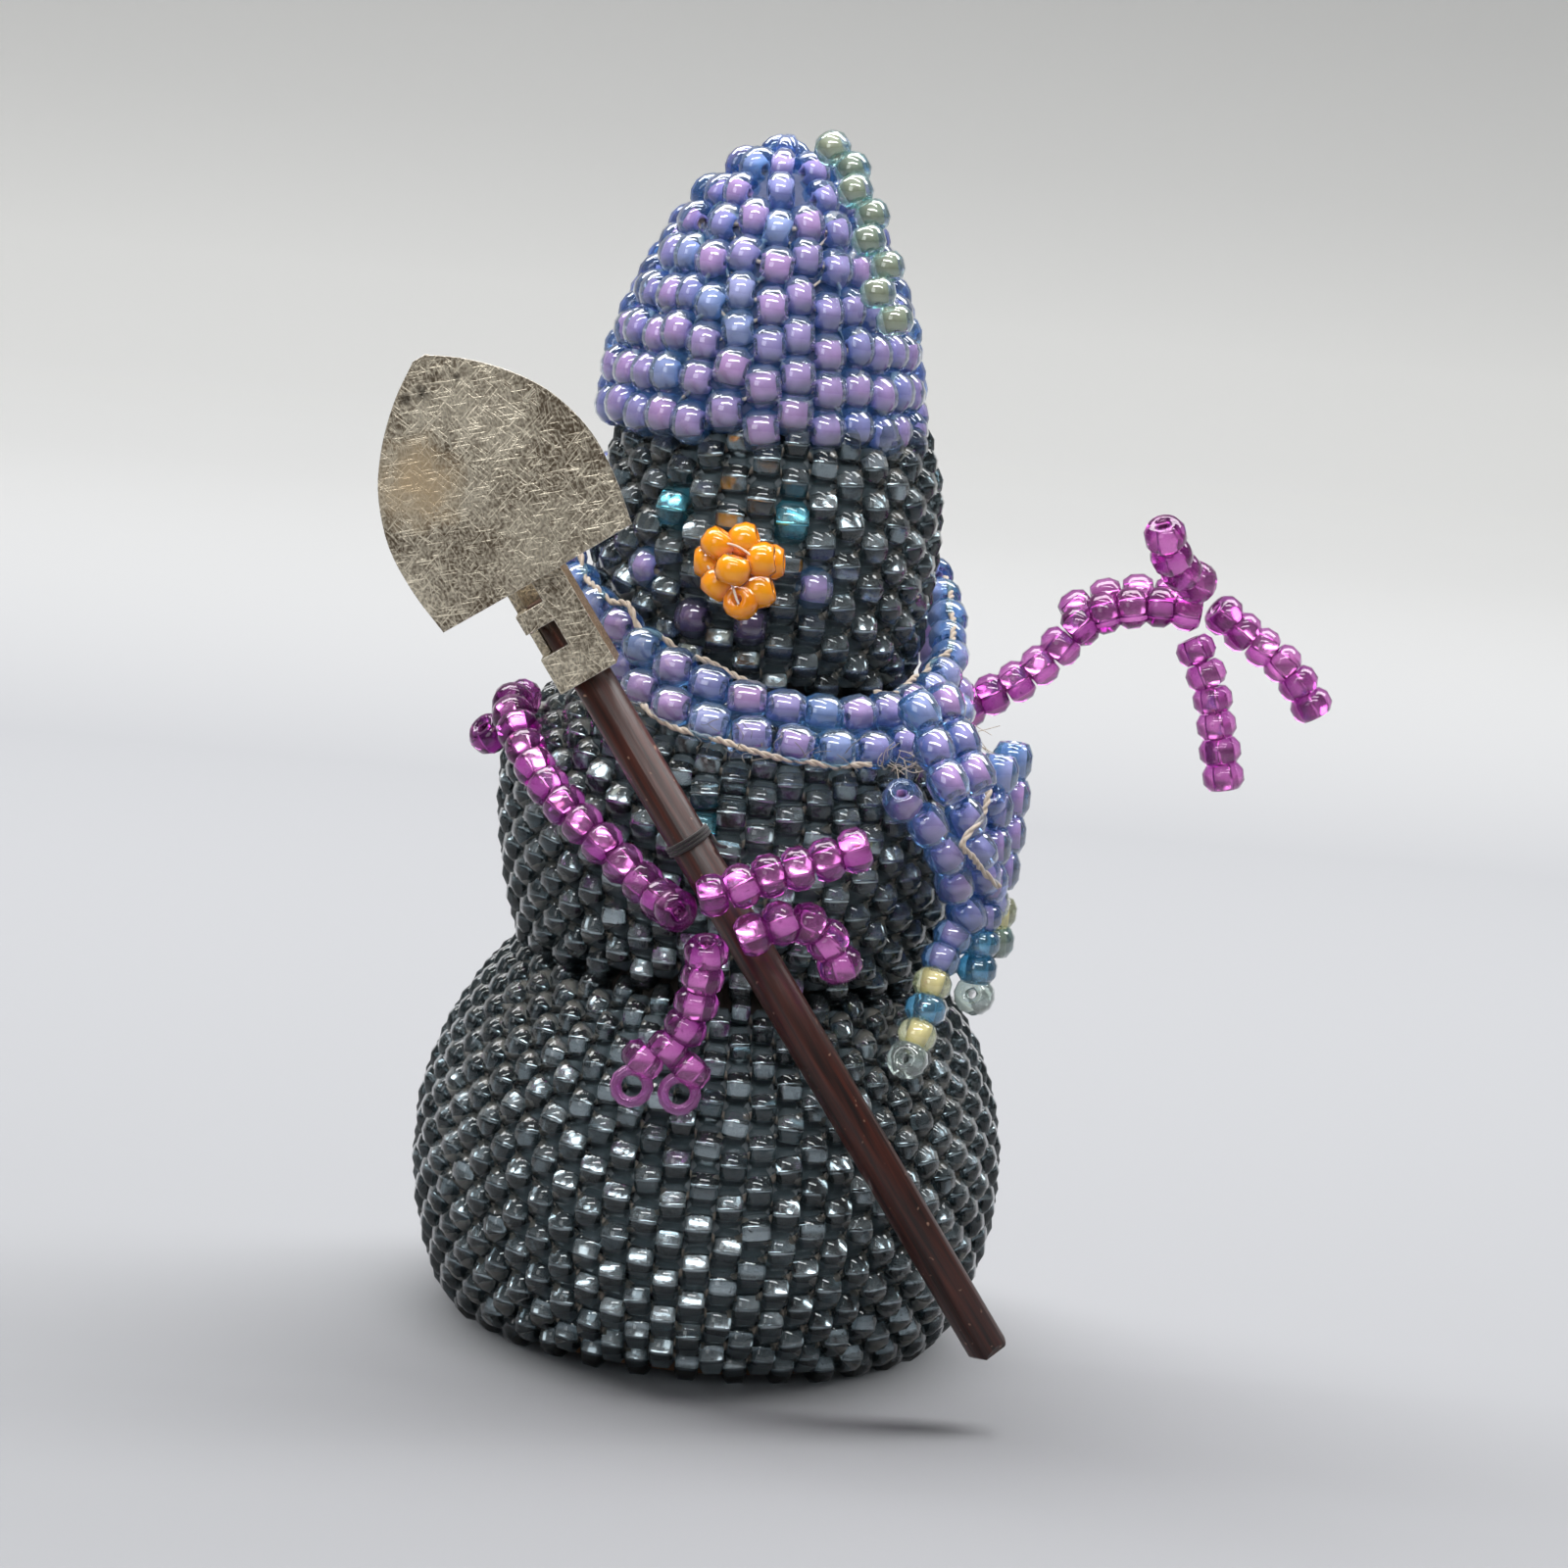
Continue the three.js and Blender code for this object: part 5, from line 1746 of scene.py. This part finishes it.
@dataclass
class Shovel:
    """The small stamped shovel on its leaning handle, and the thread that ties it to the hand.

    The blade's outline is (share of its length, share of half its width), a spot on it is (across,
    share of its length, radius, colour), and a bite of the whittled end is (turn, depth).
    """

    lean: float = 35.6
    grip: Vector = field(default_factory=lambda: Vector((0.0, -14.37, 24.2)))
    handle: float = 2.0
    handle_sides: int = 24
    below: float = 25.3
    above: float = 17.6
    bites: tuple[Pair, ...] = ((20, 0.35), (110, 0.25), (205, 0.4), (300, 0.3))
    whittle: float = 0.9
    sheet: float = 0.45
    socket_start: float = 13.3
    socket_length: float = 5.8
    socket_gap: float = 0.3
    windows: tuple[Pair, ...] = ((1.9, 3.25), (4.25, 5.6))
    blade_width: float = 11.1
    blade_length: float = 11.7
    blade_offset: float = 0.35
    blade_skew: float = 0.45
    dish: float = 0.45
    outline: tuple[Pair, ...] = (
        (0, 0.93), (0.2, 0.995), (0.4, 0.995), (0.6, 0.87), (0.75, 0.67), (0.9, 0.36), (1, 0.06))
    grid: tuple[int, int] = (18, 30)
    wear: float = 0.17
    rim: float = 0.2
    # The light tan spot is a painted highlight; the dark spots are pits.
    pits_and_highlights: tuple[tuple[float, float, float, str], ...] = (
        (-2.2, 0.57, 2.3, "#dcc29c"), (0.1, 0.875, 0.42, "#1d1712"), (-0.7, 0.885, 0.34, "#1d1712"),
        (1.9, 0.86, 0.22, "#1d1712"))
    tie_height: float = 3.9
    tie_thread: float = 0.09
    tie_turns: float = 3.0
    tie_steps: int = 30
    upper_end: tuple[Triple, ...] = ((-0.7, -0.3, -0.5), (-1.4, -0.1, -1.0))
    lower_end: tuple[Triple, ...] = ((0.4, -0.3, -0.4), (0.8, -0.2, -0.5))
    rubbed_slot: ClassVar[int] = 1
    warm_tan_slot: ClassVar[int] = 2
    upright: ClassVar[float] = 0.1

    def frame(self) -> Matrix:
        """Gives the turn and place of the handle's own axes, in metres."""
        lean = Matrix.Rotation(-math.radians(self.lean), 4, "Y")
        return Matrix.Translation(self.grip * MM) @ lean @ Matrix.Scale(MM, 4)

    @property
    def socket_half(self) -> float:
        """Gives half the width of the socket's folded sheet, at the middle of the sheet."""
        return self.handle / 2 + self.socket_gap + self.sheet / 2

    @property
    def foot(self) -> float:
        """Gives the height of the blade's upper edge along the handle's own axis."""
        return self.socket_start + self.socket_length - self.sheet

    def blade(self) -> BMesh:
        """Gives the dished blade, cut from sheet, on the handle's own axes in millimetres."""
        form = bmesh.new()
        bmesh.ops.create_grid(form, x_segments=self.grid[0], y_segments=self.grid[1], size=0.5)
        front = -self.socket_half - self.sheet / 2
        curve = np.array([point[:2] for point in Route(
            tuple(Vector((share, breadth, 0)) for share, breadth in self.outline)).line()])
        for vert in form.verts:
            across = 2 * vert.co.x
            share = math.sin((vert.co.y + 0.5) * math.pi / 2)
            half = self.blade_width / 2 * float(np.interp(share, curve[:, 0], curve[:, 1]))
            depth = self.dish * (1 - across ** 2) * (1 - share)
            vert.co = (
                self.blade_offset + share * self.blade_skew + across * half, front - depth,
                self.foot + share * self.blade_length)
        bmesh.ops.recalc_face_normals(form, faces=form.faces)
        if sum(face.normal.y for face in form.faces) > 0:
            bmesh.ops.reverse_faces(form, faces=form.faces)
        rim = bmesh.ops.inset_region(form, faces=form.faces, thickness=self.rim, use_even_offset=True)
        for face in rim["faces"]:
            face.material_index = self.rubbed_slot
        bmesh.ops.solidify(form, geom=form.faces, thickness=self.sheet)
        return form

    def socket(self) -> BMesh:
        """Gives the folded socket with its two corner windows, on the handle's own axes."""
        form = bmesh.new()
        half = self.socket_half
        loop = [(-half, 0), (-half, -half), (0, -half), (half, -half), (half, half), (-half, half)]
        levels = sorted({0.0, self.socket_length, *(z for window in self.windows for z in window)})
        verts = [form.verts.new((x, y, self.socket_start)) for x, y in loop]
        edges = [form.edges.new((verts[k - 1], verts[k])) for k in range(len(verts))]
        for low, high in zip(levels, levels[1:]):
            edges = draw_out(form, edges, (0, 0, high - low))
        open_faces = []
        for face in form.faces:
            middle = face.calc_center_median()
            rise = middle.z - self.socket_start
            corner = middle.x < 0 and middle.y < 0
            if corner and any(low < rise < high for low, high in self.windows):
                open_faces.append(face)
        bmesh.ops.delete(form, geom=open_faces, context="FACES")
        bmesh.ops.recalc_face_normals(form, faces=form.faces)
        # The socket's right-hand wall takes a warm tan finish.
        for face in form.faces:
            if abs(face.normal.x) > FACING and face.calc_center_median().x > 0:
                face.material_index = self.warm_tan_slot
        bmesh.ops.solidify(form, geom=form.faces, thickness=self.sheet)
        return form

    def shaft(self) -> BMesh:
        """Gives the round handle with its whittled lower end, on its own axes."""
        form = bmesh.new()
        length = self.below + self.above
        radius = self.handle / 2
        bmesh.ops.create_cone(
            form, cap_ends=True, segments=self.handle_sides, radius1=radius, radius2=radius,
            depth=length)
        bmesh.ops.translate(form, vec=(0, 0, (self.above - self.below) / 2), verts=form.verts)
        for turn, bite in self.bites:
            angle = math.radians(turn)
            out = Vector((math.cos(angle), math.sin(angle), 0))
            cut = bmesh.ops.bisect_plane(
                form, geom=[*form.verts, *form.edges, *form.faces],
                plane_co=out * (radius - bite) - UP * self.below,
                plane_no=(out - UP * self.whittle).normalized(), clear_outer=True)
            rim = [item for item in cut["geom_cut"] if isinstance(item, BMEdge)]
            bmesh.ops.contextual_create(form, geom=rim)
        bmesh.ops.recalc_face_normals(form, faces=form.faces)
        for face in form.faces:
            face.smooth = abs(face.normal.z) < self.upright
        return form

    def build(self, chance: random.Random) -> None:
        """Makes the blade with its socket, the handle and the tie.

        Args:
            chance: Not drawn from here; every sub-assembly is built alike.
        """
        metal = bmesh.new()
        for form in (self.blade(), self.socket()):
            part = bpy.data.meshes.new("shovel_part")
            form.to_mesh(part)
            form.free()
            metal.from_mesh(part)
            bpy.data.meshes.remove(part)
        bmesh.ops.transform(metal, matrix=self.frame(), verts=metal.verts)
        face = -self.socket_half
        pits_and_highlights = tuple(
            (tuple(self.frame() @ Vector((across, face, self.foot + share * self.blade_length))),
             size, colour) for across, share, size, colour in self.pits_and_highlights)
        blade = new_piece("shovel_blade_sheet", metal, (
            Pewter("worn_highlit_pewter", pits_and_highlights=pits_and_highlights), RUBBED_PEWTER, WARM_TAN_PEWTER))
        edge = blade.modifiers.new("worn_edges", "BEVEL")
        edge.width = self.wear * MM
        edge.segments = 2
        edge.material = self.rubbed_slot
        edge.limit_method = "ANGLE"
        seat(blade, "shovel", "pewter", "shovel_blade")
        stick = self.shaft()
        bmesh.ops.transform(stick, matrix=self.frame(), verts=stick.verts)
        stain = Timber(
            "stained_dowel", "#170907", "#4a1f14", "#957260", math.radians(self.lean))
        dowel = new_piece("shovel_handle_dowel", stick, (stain,))
        seat(dowel, "shovel", "stained_wood", "shovel_handle")
        self.tie()

    def tie(self) -> None:
        """Winds the dark thread that ties the handle to the hand."""
        place = Matrix.Scale(1 / MM, 4) @ self.frame()
        radius = self.handle / 2 + self.tie_thread
        coil = []
        for k in range(self.tie_steps + 1):
            turns = self.tie_turns * k / self.tie_steps
            angle = math.tau * turns
            rise = self.tie_height + self.tie_thread * (2 * turns - 2)
            coil.append(place @ Vector((radius * math.cos(angle), radius * math.sin(angle), rise)))
        ends = [[root, *(root + Vector(step) for step in steps)]
                for root, steps in ((coil[-1], self.upper_end), (coil[0], self.lower_end))]
        piece = thread("grip_tie_thread", [coil, *ends], self.tie_thread, DARK_THREAD)
        seat(piece, "right_arm", "dark_thread", "grip_tie")


@dataclass
class Arms:
    """Both wired arms with their fingers: the right hand holds the shovel, the left is raised.

    Places of the right hand are to the left, forward and up from a bead on the handle, those of the
    left arm are from its shoulder, and a bend of the right arm is (azimuth, drop below the neck).
    """

    grip: Vector
    bead: float = 2.2
    pitch: float = 1.35
    bead_pitch: float = 1.45
    strand: float = 1.05
    gap: float = 0.3
    lift: float = 1.45
    handle: float = 2.0
    right_azimuth: float = -75.5
    right_drop: float = 2.6
    left_azimuth: float = 99.5
    left_drop: float = 1.8
    palm_forward: float = 1.4
    approach: Triple = (-0.7, 1.5, 0.0)
    bends: tuple[Pair, ...] = (
        (-66, 3.3), (-57, 3.9), (-48, 4.9), (-37, 6.1), (-27, 7.5), (-19, 8.8))
    right_fingers: tuple[tuple[Triple, ...], ...] = (
        ((-1.6, 0.7, 1.1), (-0.8, 0.7, 1.3), (0.4, 0.5, 1.8), (1.6, 0.2, 2.5), (3.1, 0, 2.8),
         (4.5, -0.2, 3.5), (6.3, -0.4, 4.2)),
        ((0.5, 0.4, -0.8), (1.4, 0.4, -0.4), (2.5, 0.2, 0.4), (3.6, -0.2, 0.4),
         (4.6, -0.7, -0.4), (5.3, -1.2, -1.3), (5.7, -1.4, -2.5)),
        ((-1, 0.2, -1), (-0.9, -0.2, -2.1), (-1.1, -0.5, -3.5), (-1.3, -0.7, -5),
         (-2, -0.8, -6.2), (-2.7, -0.6, -7.2)))
    end_beads: tuple[Triple, ...] = ((-3.9, -0.6, -8.6), (-1.6, -0.8, -8.8))
    left_bends: tuple[Triple, ...] = (
        (2.6, 0.2, 1.7), (4.1, 0.2, 3), (5.1, 0.2, 4.1), (5.9, 0.3, 5.4),
        (7.4, 0.4, 6.1), (9.2, 0.5, 6.5), (10.9, 0.6, 6.5), (12, 0.6, 6.4))
    left_loop: tuple[Triple, ...] = (
        (5.2, 1.4, 5.3), (6.2, 1.6, 6.2), (7.6, 1.7, 6.7), (9.3, 1.7, 7), (11.2, 1.8, 6.9))
    left_fingers: tuple[tuple[Triple, ...], ...] = (
        ((11.9, -0.5, 7.9), (11.2, -1.2, 8.2), (10.3, -2.4, 8.9), (9.6, -3.6, 9.9), (9.1, -4.5, 11.3)),
        ((12.7, 1, 6.7), (13.4, 1.2, 6.3), (14.4, 1.3, 5.4), (16, 1.2, 4.6), (17.4, 1.2, 3.3),
         (18.6, 1.2, 1.6)),
        ((11.6, 0.4, 5.1), (12.1, 0.3, 4.2), (12.9, 0.2, 2.7), (13.3, 0.2, 1.1), (13.7, 0.2, -0.4),
         (14.2, 0.2, -2.5)))
    root_bead: Triple = (-76, 13.3, 29.9)
    root_axis: Triple = (-0.6, -0.5, 0.6)
    root_tone: float = 0.2
    tip_beads: tuple[Triple, ...] = ((-3.5, -0.8, -7.3), (-1.2, -1.0, -7.6))
    tip_axis: Triple = (0.6, 0.1, 0.8)
    end_axes: tuple[Triple, ...] = ((-0.1, -1.0, 0.15), (0.1, -1.0, 0.15))
    end_length: float = 1.1
    slot: ClassVar[str] = "fuchsia_glass"

    def on_grip(self, place: Sequence[float]) -> Vector:
        """Gives a point of the right hand, counted from a bead that lies on the handle.

        Args:
            place: To the left arm, forward and up.

        Returns:
            The point.
        """
        left, forward, up = place
        over = self.handle / 2 + self.gap + self.strand
        return self.grip + Vector((left, -over - forward, up))

    def roots(self, azimuth: float, drop: float) -> list[Vector]:
        """Gives the first two points of an arm's wire, straight out of the torso."""
        lifts = (self.gap, self.gap + self.pitch / 2)
        return [TORSO_BALL.lifted(azimuth, NECK_HEIGHT - drop, lift) for lift in lifts]

    def right_route(self) -> Route:
        """Gives the right arm's wire, round the chest and forward beside the handle."""
        reach = self.handle / 2 + self.strand + self.gap
        palm = self.grip + Vector((-reach, -self.palm_forward, 0))
        return Route((
            *self.roots(self.right_azimuth, self.right_drop),
            *(TORSO_BALL.lifted(azimuth, NECK_HEIGHT - drop, self.lift)
              for azimuth, drop in self.bends),
            palm + Vector(self.approach),
            palm))

    def left_route(self) -> Route:
        """Gives the left arm's wire, raised beside the head."""
        roots = self.roots(self.left_azimuth, self.left_drop)
        return Route((*roots, *(roots[0] + Vector(bend) for bend in self.left_bends)))

    def build(self, chance: random.Random) -> None:
        """Strings both arms, every finger and the two end beads.

        Args:
            chance: The source of small differences.
        """
        azimuth, radius, height = self.root_bead
        shoulder = Bead(
            around(azimuth, radius, height), Vector(self.root_axis), around(azimuth, 1, 0),
            self.bead_pitch, self.bead, 0.0, self.root_tone)
        root = self.left_route().points[0]
        loop = Route(tuple(root + Vector(bend) for bend in self.left_loop))
        tips = [Bead(self.on_grip(place), Vector(self.tip_axis), around(0, 1, 0), self.bead_pitch,
                     self.bead, 0.0, chance.random()) for place in self.tip_beads]
        extra = {
            "right_arm": [shoulder], "left_arm": loop.beads(self.bead_pitch, self.bead, chance),
            "right_finger_3": tips}
        routes = {"right_arm": self.right_route(), "left_arm": self.left_route()}
        for number, run in enumerate(self.right_fingers, 1):
            routes[f"right_finger_{number}"] = Route(tuple(self.on_grip(place) for place in run))
        for number, run in enumerate(self.left_fingers, 1):
            routes[f"left_finger_{number}"] = Route(tuple(root + Vector(place) for place in run))
        for node, route in routes.items():
            beads = route.beads(self.bead_pitch, self.bead, chance) + extra.get(node, [])
            body = "right_arm" if node.startswith("right") else "left_arm"
            ARM_BEADS.string(f"{node}_beads", beads, body, self.slot, node)
        for number, (place, axis) in enumerate(zip(self.end_beads, self.end_axes), 1):
            node = f"right_end_bead_{number}"
            ring = Bead(self.on_grip(place), Vector(axis), UP, self.end_length, self.bead, 0,
                        chance.random())
            END_BEADS.string(f"{node}_ring", [ring], "right_arm", self.slot, node)


@dataclass(frozen=True)
class Softbox:
    """A flat lamp that faces the figure. Metres and watts."""

    name: str
    place: Triple
    size: Pair
    power: float
    spares_floor: bool = True

    def hang(self, target: Vector) -> Object:
        """Hangs the lamp.

        Args:
            target: What it faces.

        Returns:
            The lamp.
        """
        light = bpy.data.lights.new(self.name, "AREA")
        light.shape = "RECTANGLE"
        light.size, light.size_y = self.size
        light.energy = self.power
        lamp = bpy.data.objects.new(self.name, light)
        lamp.location = self.place
        lamp.rotation_euler = (target - Vector(self.place)).to_track_quat("-Z", "Y").to_euler()
        bpy.context.scene.collection.objects.link(lamp)
        return lamp


@dataclass
class Studio:
    """The pale sweep, the lamps, the dim room and the camera. Metres."""

    target: Vector = field(default_factory=lambda: Vector((0.0, 0.0, 0.03)))
    distance: float = 0.23
    elevation: float = 9.0
    roll: float = 5.6
    aim_right: float = 0.001915
    aim_up: float = -0.0019
    lens: float = 103.5
    clip_start: float = 0.01
    floor_half: float = 3.0
    sweep_start: float = 0.4
    sweep_radius: float = 0.6
    sweep_steps: int = 12
    wall_top: float = 0.9
    room: float = 0.15
    room_colour: str = "#eef0f2"
    lamps: tuple[Softbox, ...] = (
        Softbox("top_strip", (0.0, 0.14, 0.41), (0.9, 0.17), 4.6, spares_floor=False),
        Softbox("over_bar", (-0.02, -0.06, 0.4), (0.34, 0.05), 0.6),
        Softbox("front_bar", (-0.02, -0.28, 0.34), (0.42, 0.05), 0.9),
        Softbox("side_fill", (-0.3, -0.5, 0.25), (0.25, 0.25), 0.4))

    def build(self) -> None:
        """Sets up the sweep, the lamps, the room and the camera."""
        floor = self.sweep()
        for softbox in self.lamps:
            lamp = softbox.hang(self.target)
            if softbox.spares_floor:
                self.spare(lamp, floor)
        self.world()
        self.camera()
        bpy.context.scene.view_settings.view_transform = "Standard"

    def sweep(self) -> Object:
        """Makes the floor that curves up into a backdrop, and gives it back."""
        form = bmesh.new()
        bend = [Vector((0, -self.floor_half, 0)), Vector((0, self.sweep_start, 0))]
        for k in range(1, self.sweep_steps + 1):
            angle = math.pi / 2 * k / self.sweep_steps
            bend.append(Vector((
                0, self.sweep_start + self.sweep_radius * math.sin(angle),
                self.sweep_radius * (1 - math.cos(angle)))))
        bend.append(bend[-1] + UP * self.wall_top)
        verts = [form.verts.new(point - Vector((self.floor_half, 0, 0))) for point in bend]
        edges = [form.edges.new(pair) for pair in zip(verts, verts[1:])]
        draw_out(form, edges, (2 * self.floor_half, 0, 0))
        smooth_out(form)
        floor = new_piece("studio_sweep", form, (STUDIO_PAPER,))
        return floor

    def spare(self, lamp: Object, floor: Object) -> None:
        """Keeps a lamp's light off the floor, so that the figure's shadow stays deep.

        Args:
            lamp: The lamp.
            floor: The floor.
        """
        spared = bpy.data.collections.new(f"{lamp.name}_spares")
        spared.objects.link(floor)
        spared.collection_objects[0].light_linking.link_state = "EXCLUDE"
        lamp.light_linking.receiver_collection = spared

    def world(self) -> None:
        """Fills the room with dim even light."""
        world = bpy.data.worlds.new("room")
        world.use_nodes = True
        world.node_tree.nodes.clear()
        shade = add_node(world, "ShaderNodeBackground", {
            "Color": linear(self.room_colour), "Strength": self.room})
        add_node(world, "ShaderNodeOutputWorld", {"Surface": shade.outputs["Background"]})
        bpy.context.scene.world = world

    def camera(self) -> None:
        """Stands the camera where the photograph was taken from."""
        rise, roll = math.radians(self.elevation), math.radians(self.roll)
        eye = self.target + Vector((0, -math.cos(rise), math.sin(rise))) * self.distance
        level = Vector((1, 0, 0))
        above = Vector((0, math.sin(rise), math.cos(rise)))
        right = level * math.cos(roll) + above * math.sin(roll)
        up = above * math.cos(roll) - level * math.sin(roll)
        back = (eye - self.target - right * self.aim_right - up * self.aim_up).normalized()
        right = up.cross(back).normalized()
        up = back.cross(right)
        lens = bpy.data.cameras.new("photo_camera")
        lens.lens = self.lens
        lens.clip_start = self.clip_start
        camera = bpy.data.objects.new("photo_camera", lens)
        camera.matrix_world = Matrix.Translation(eye) @ Matrix((right, up, back)).transposed().to_4x4()
        bpy.context.scene.collection.objects.link(camera)
        bpy.context.scene.camera = camera


def main() -> None:
    """Builds the studio and every sub-assembly in order."""
    logging.basicConfig(level=logging.INFO, format="%(name)s: %(message)s")
    Studio().build()
    shovel = Shovel()
    assemblies = (Body(), Nose(), Hat(), Scarf(), shovel, Arms(shovel.grip))
    for number, assembly in enumerate(assemblies):
        assembly.build(random.Random(number))


if __name__ == "__main__":
    main()
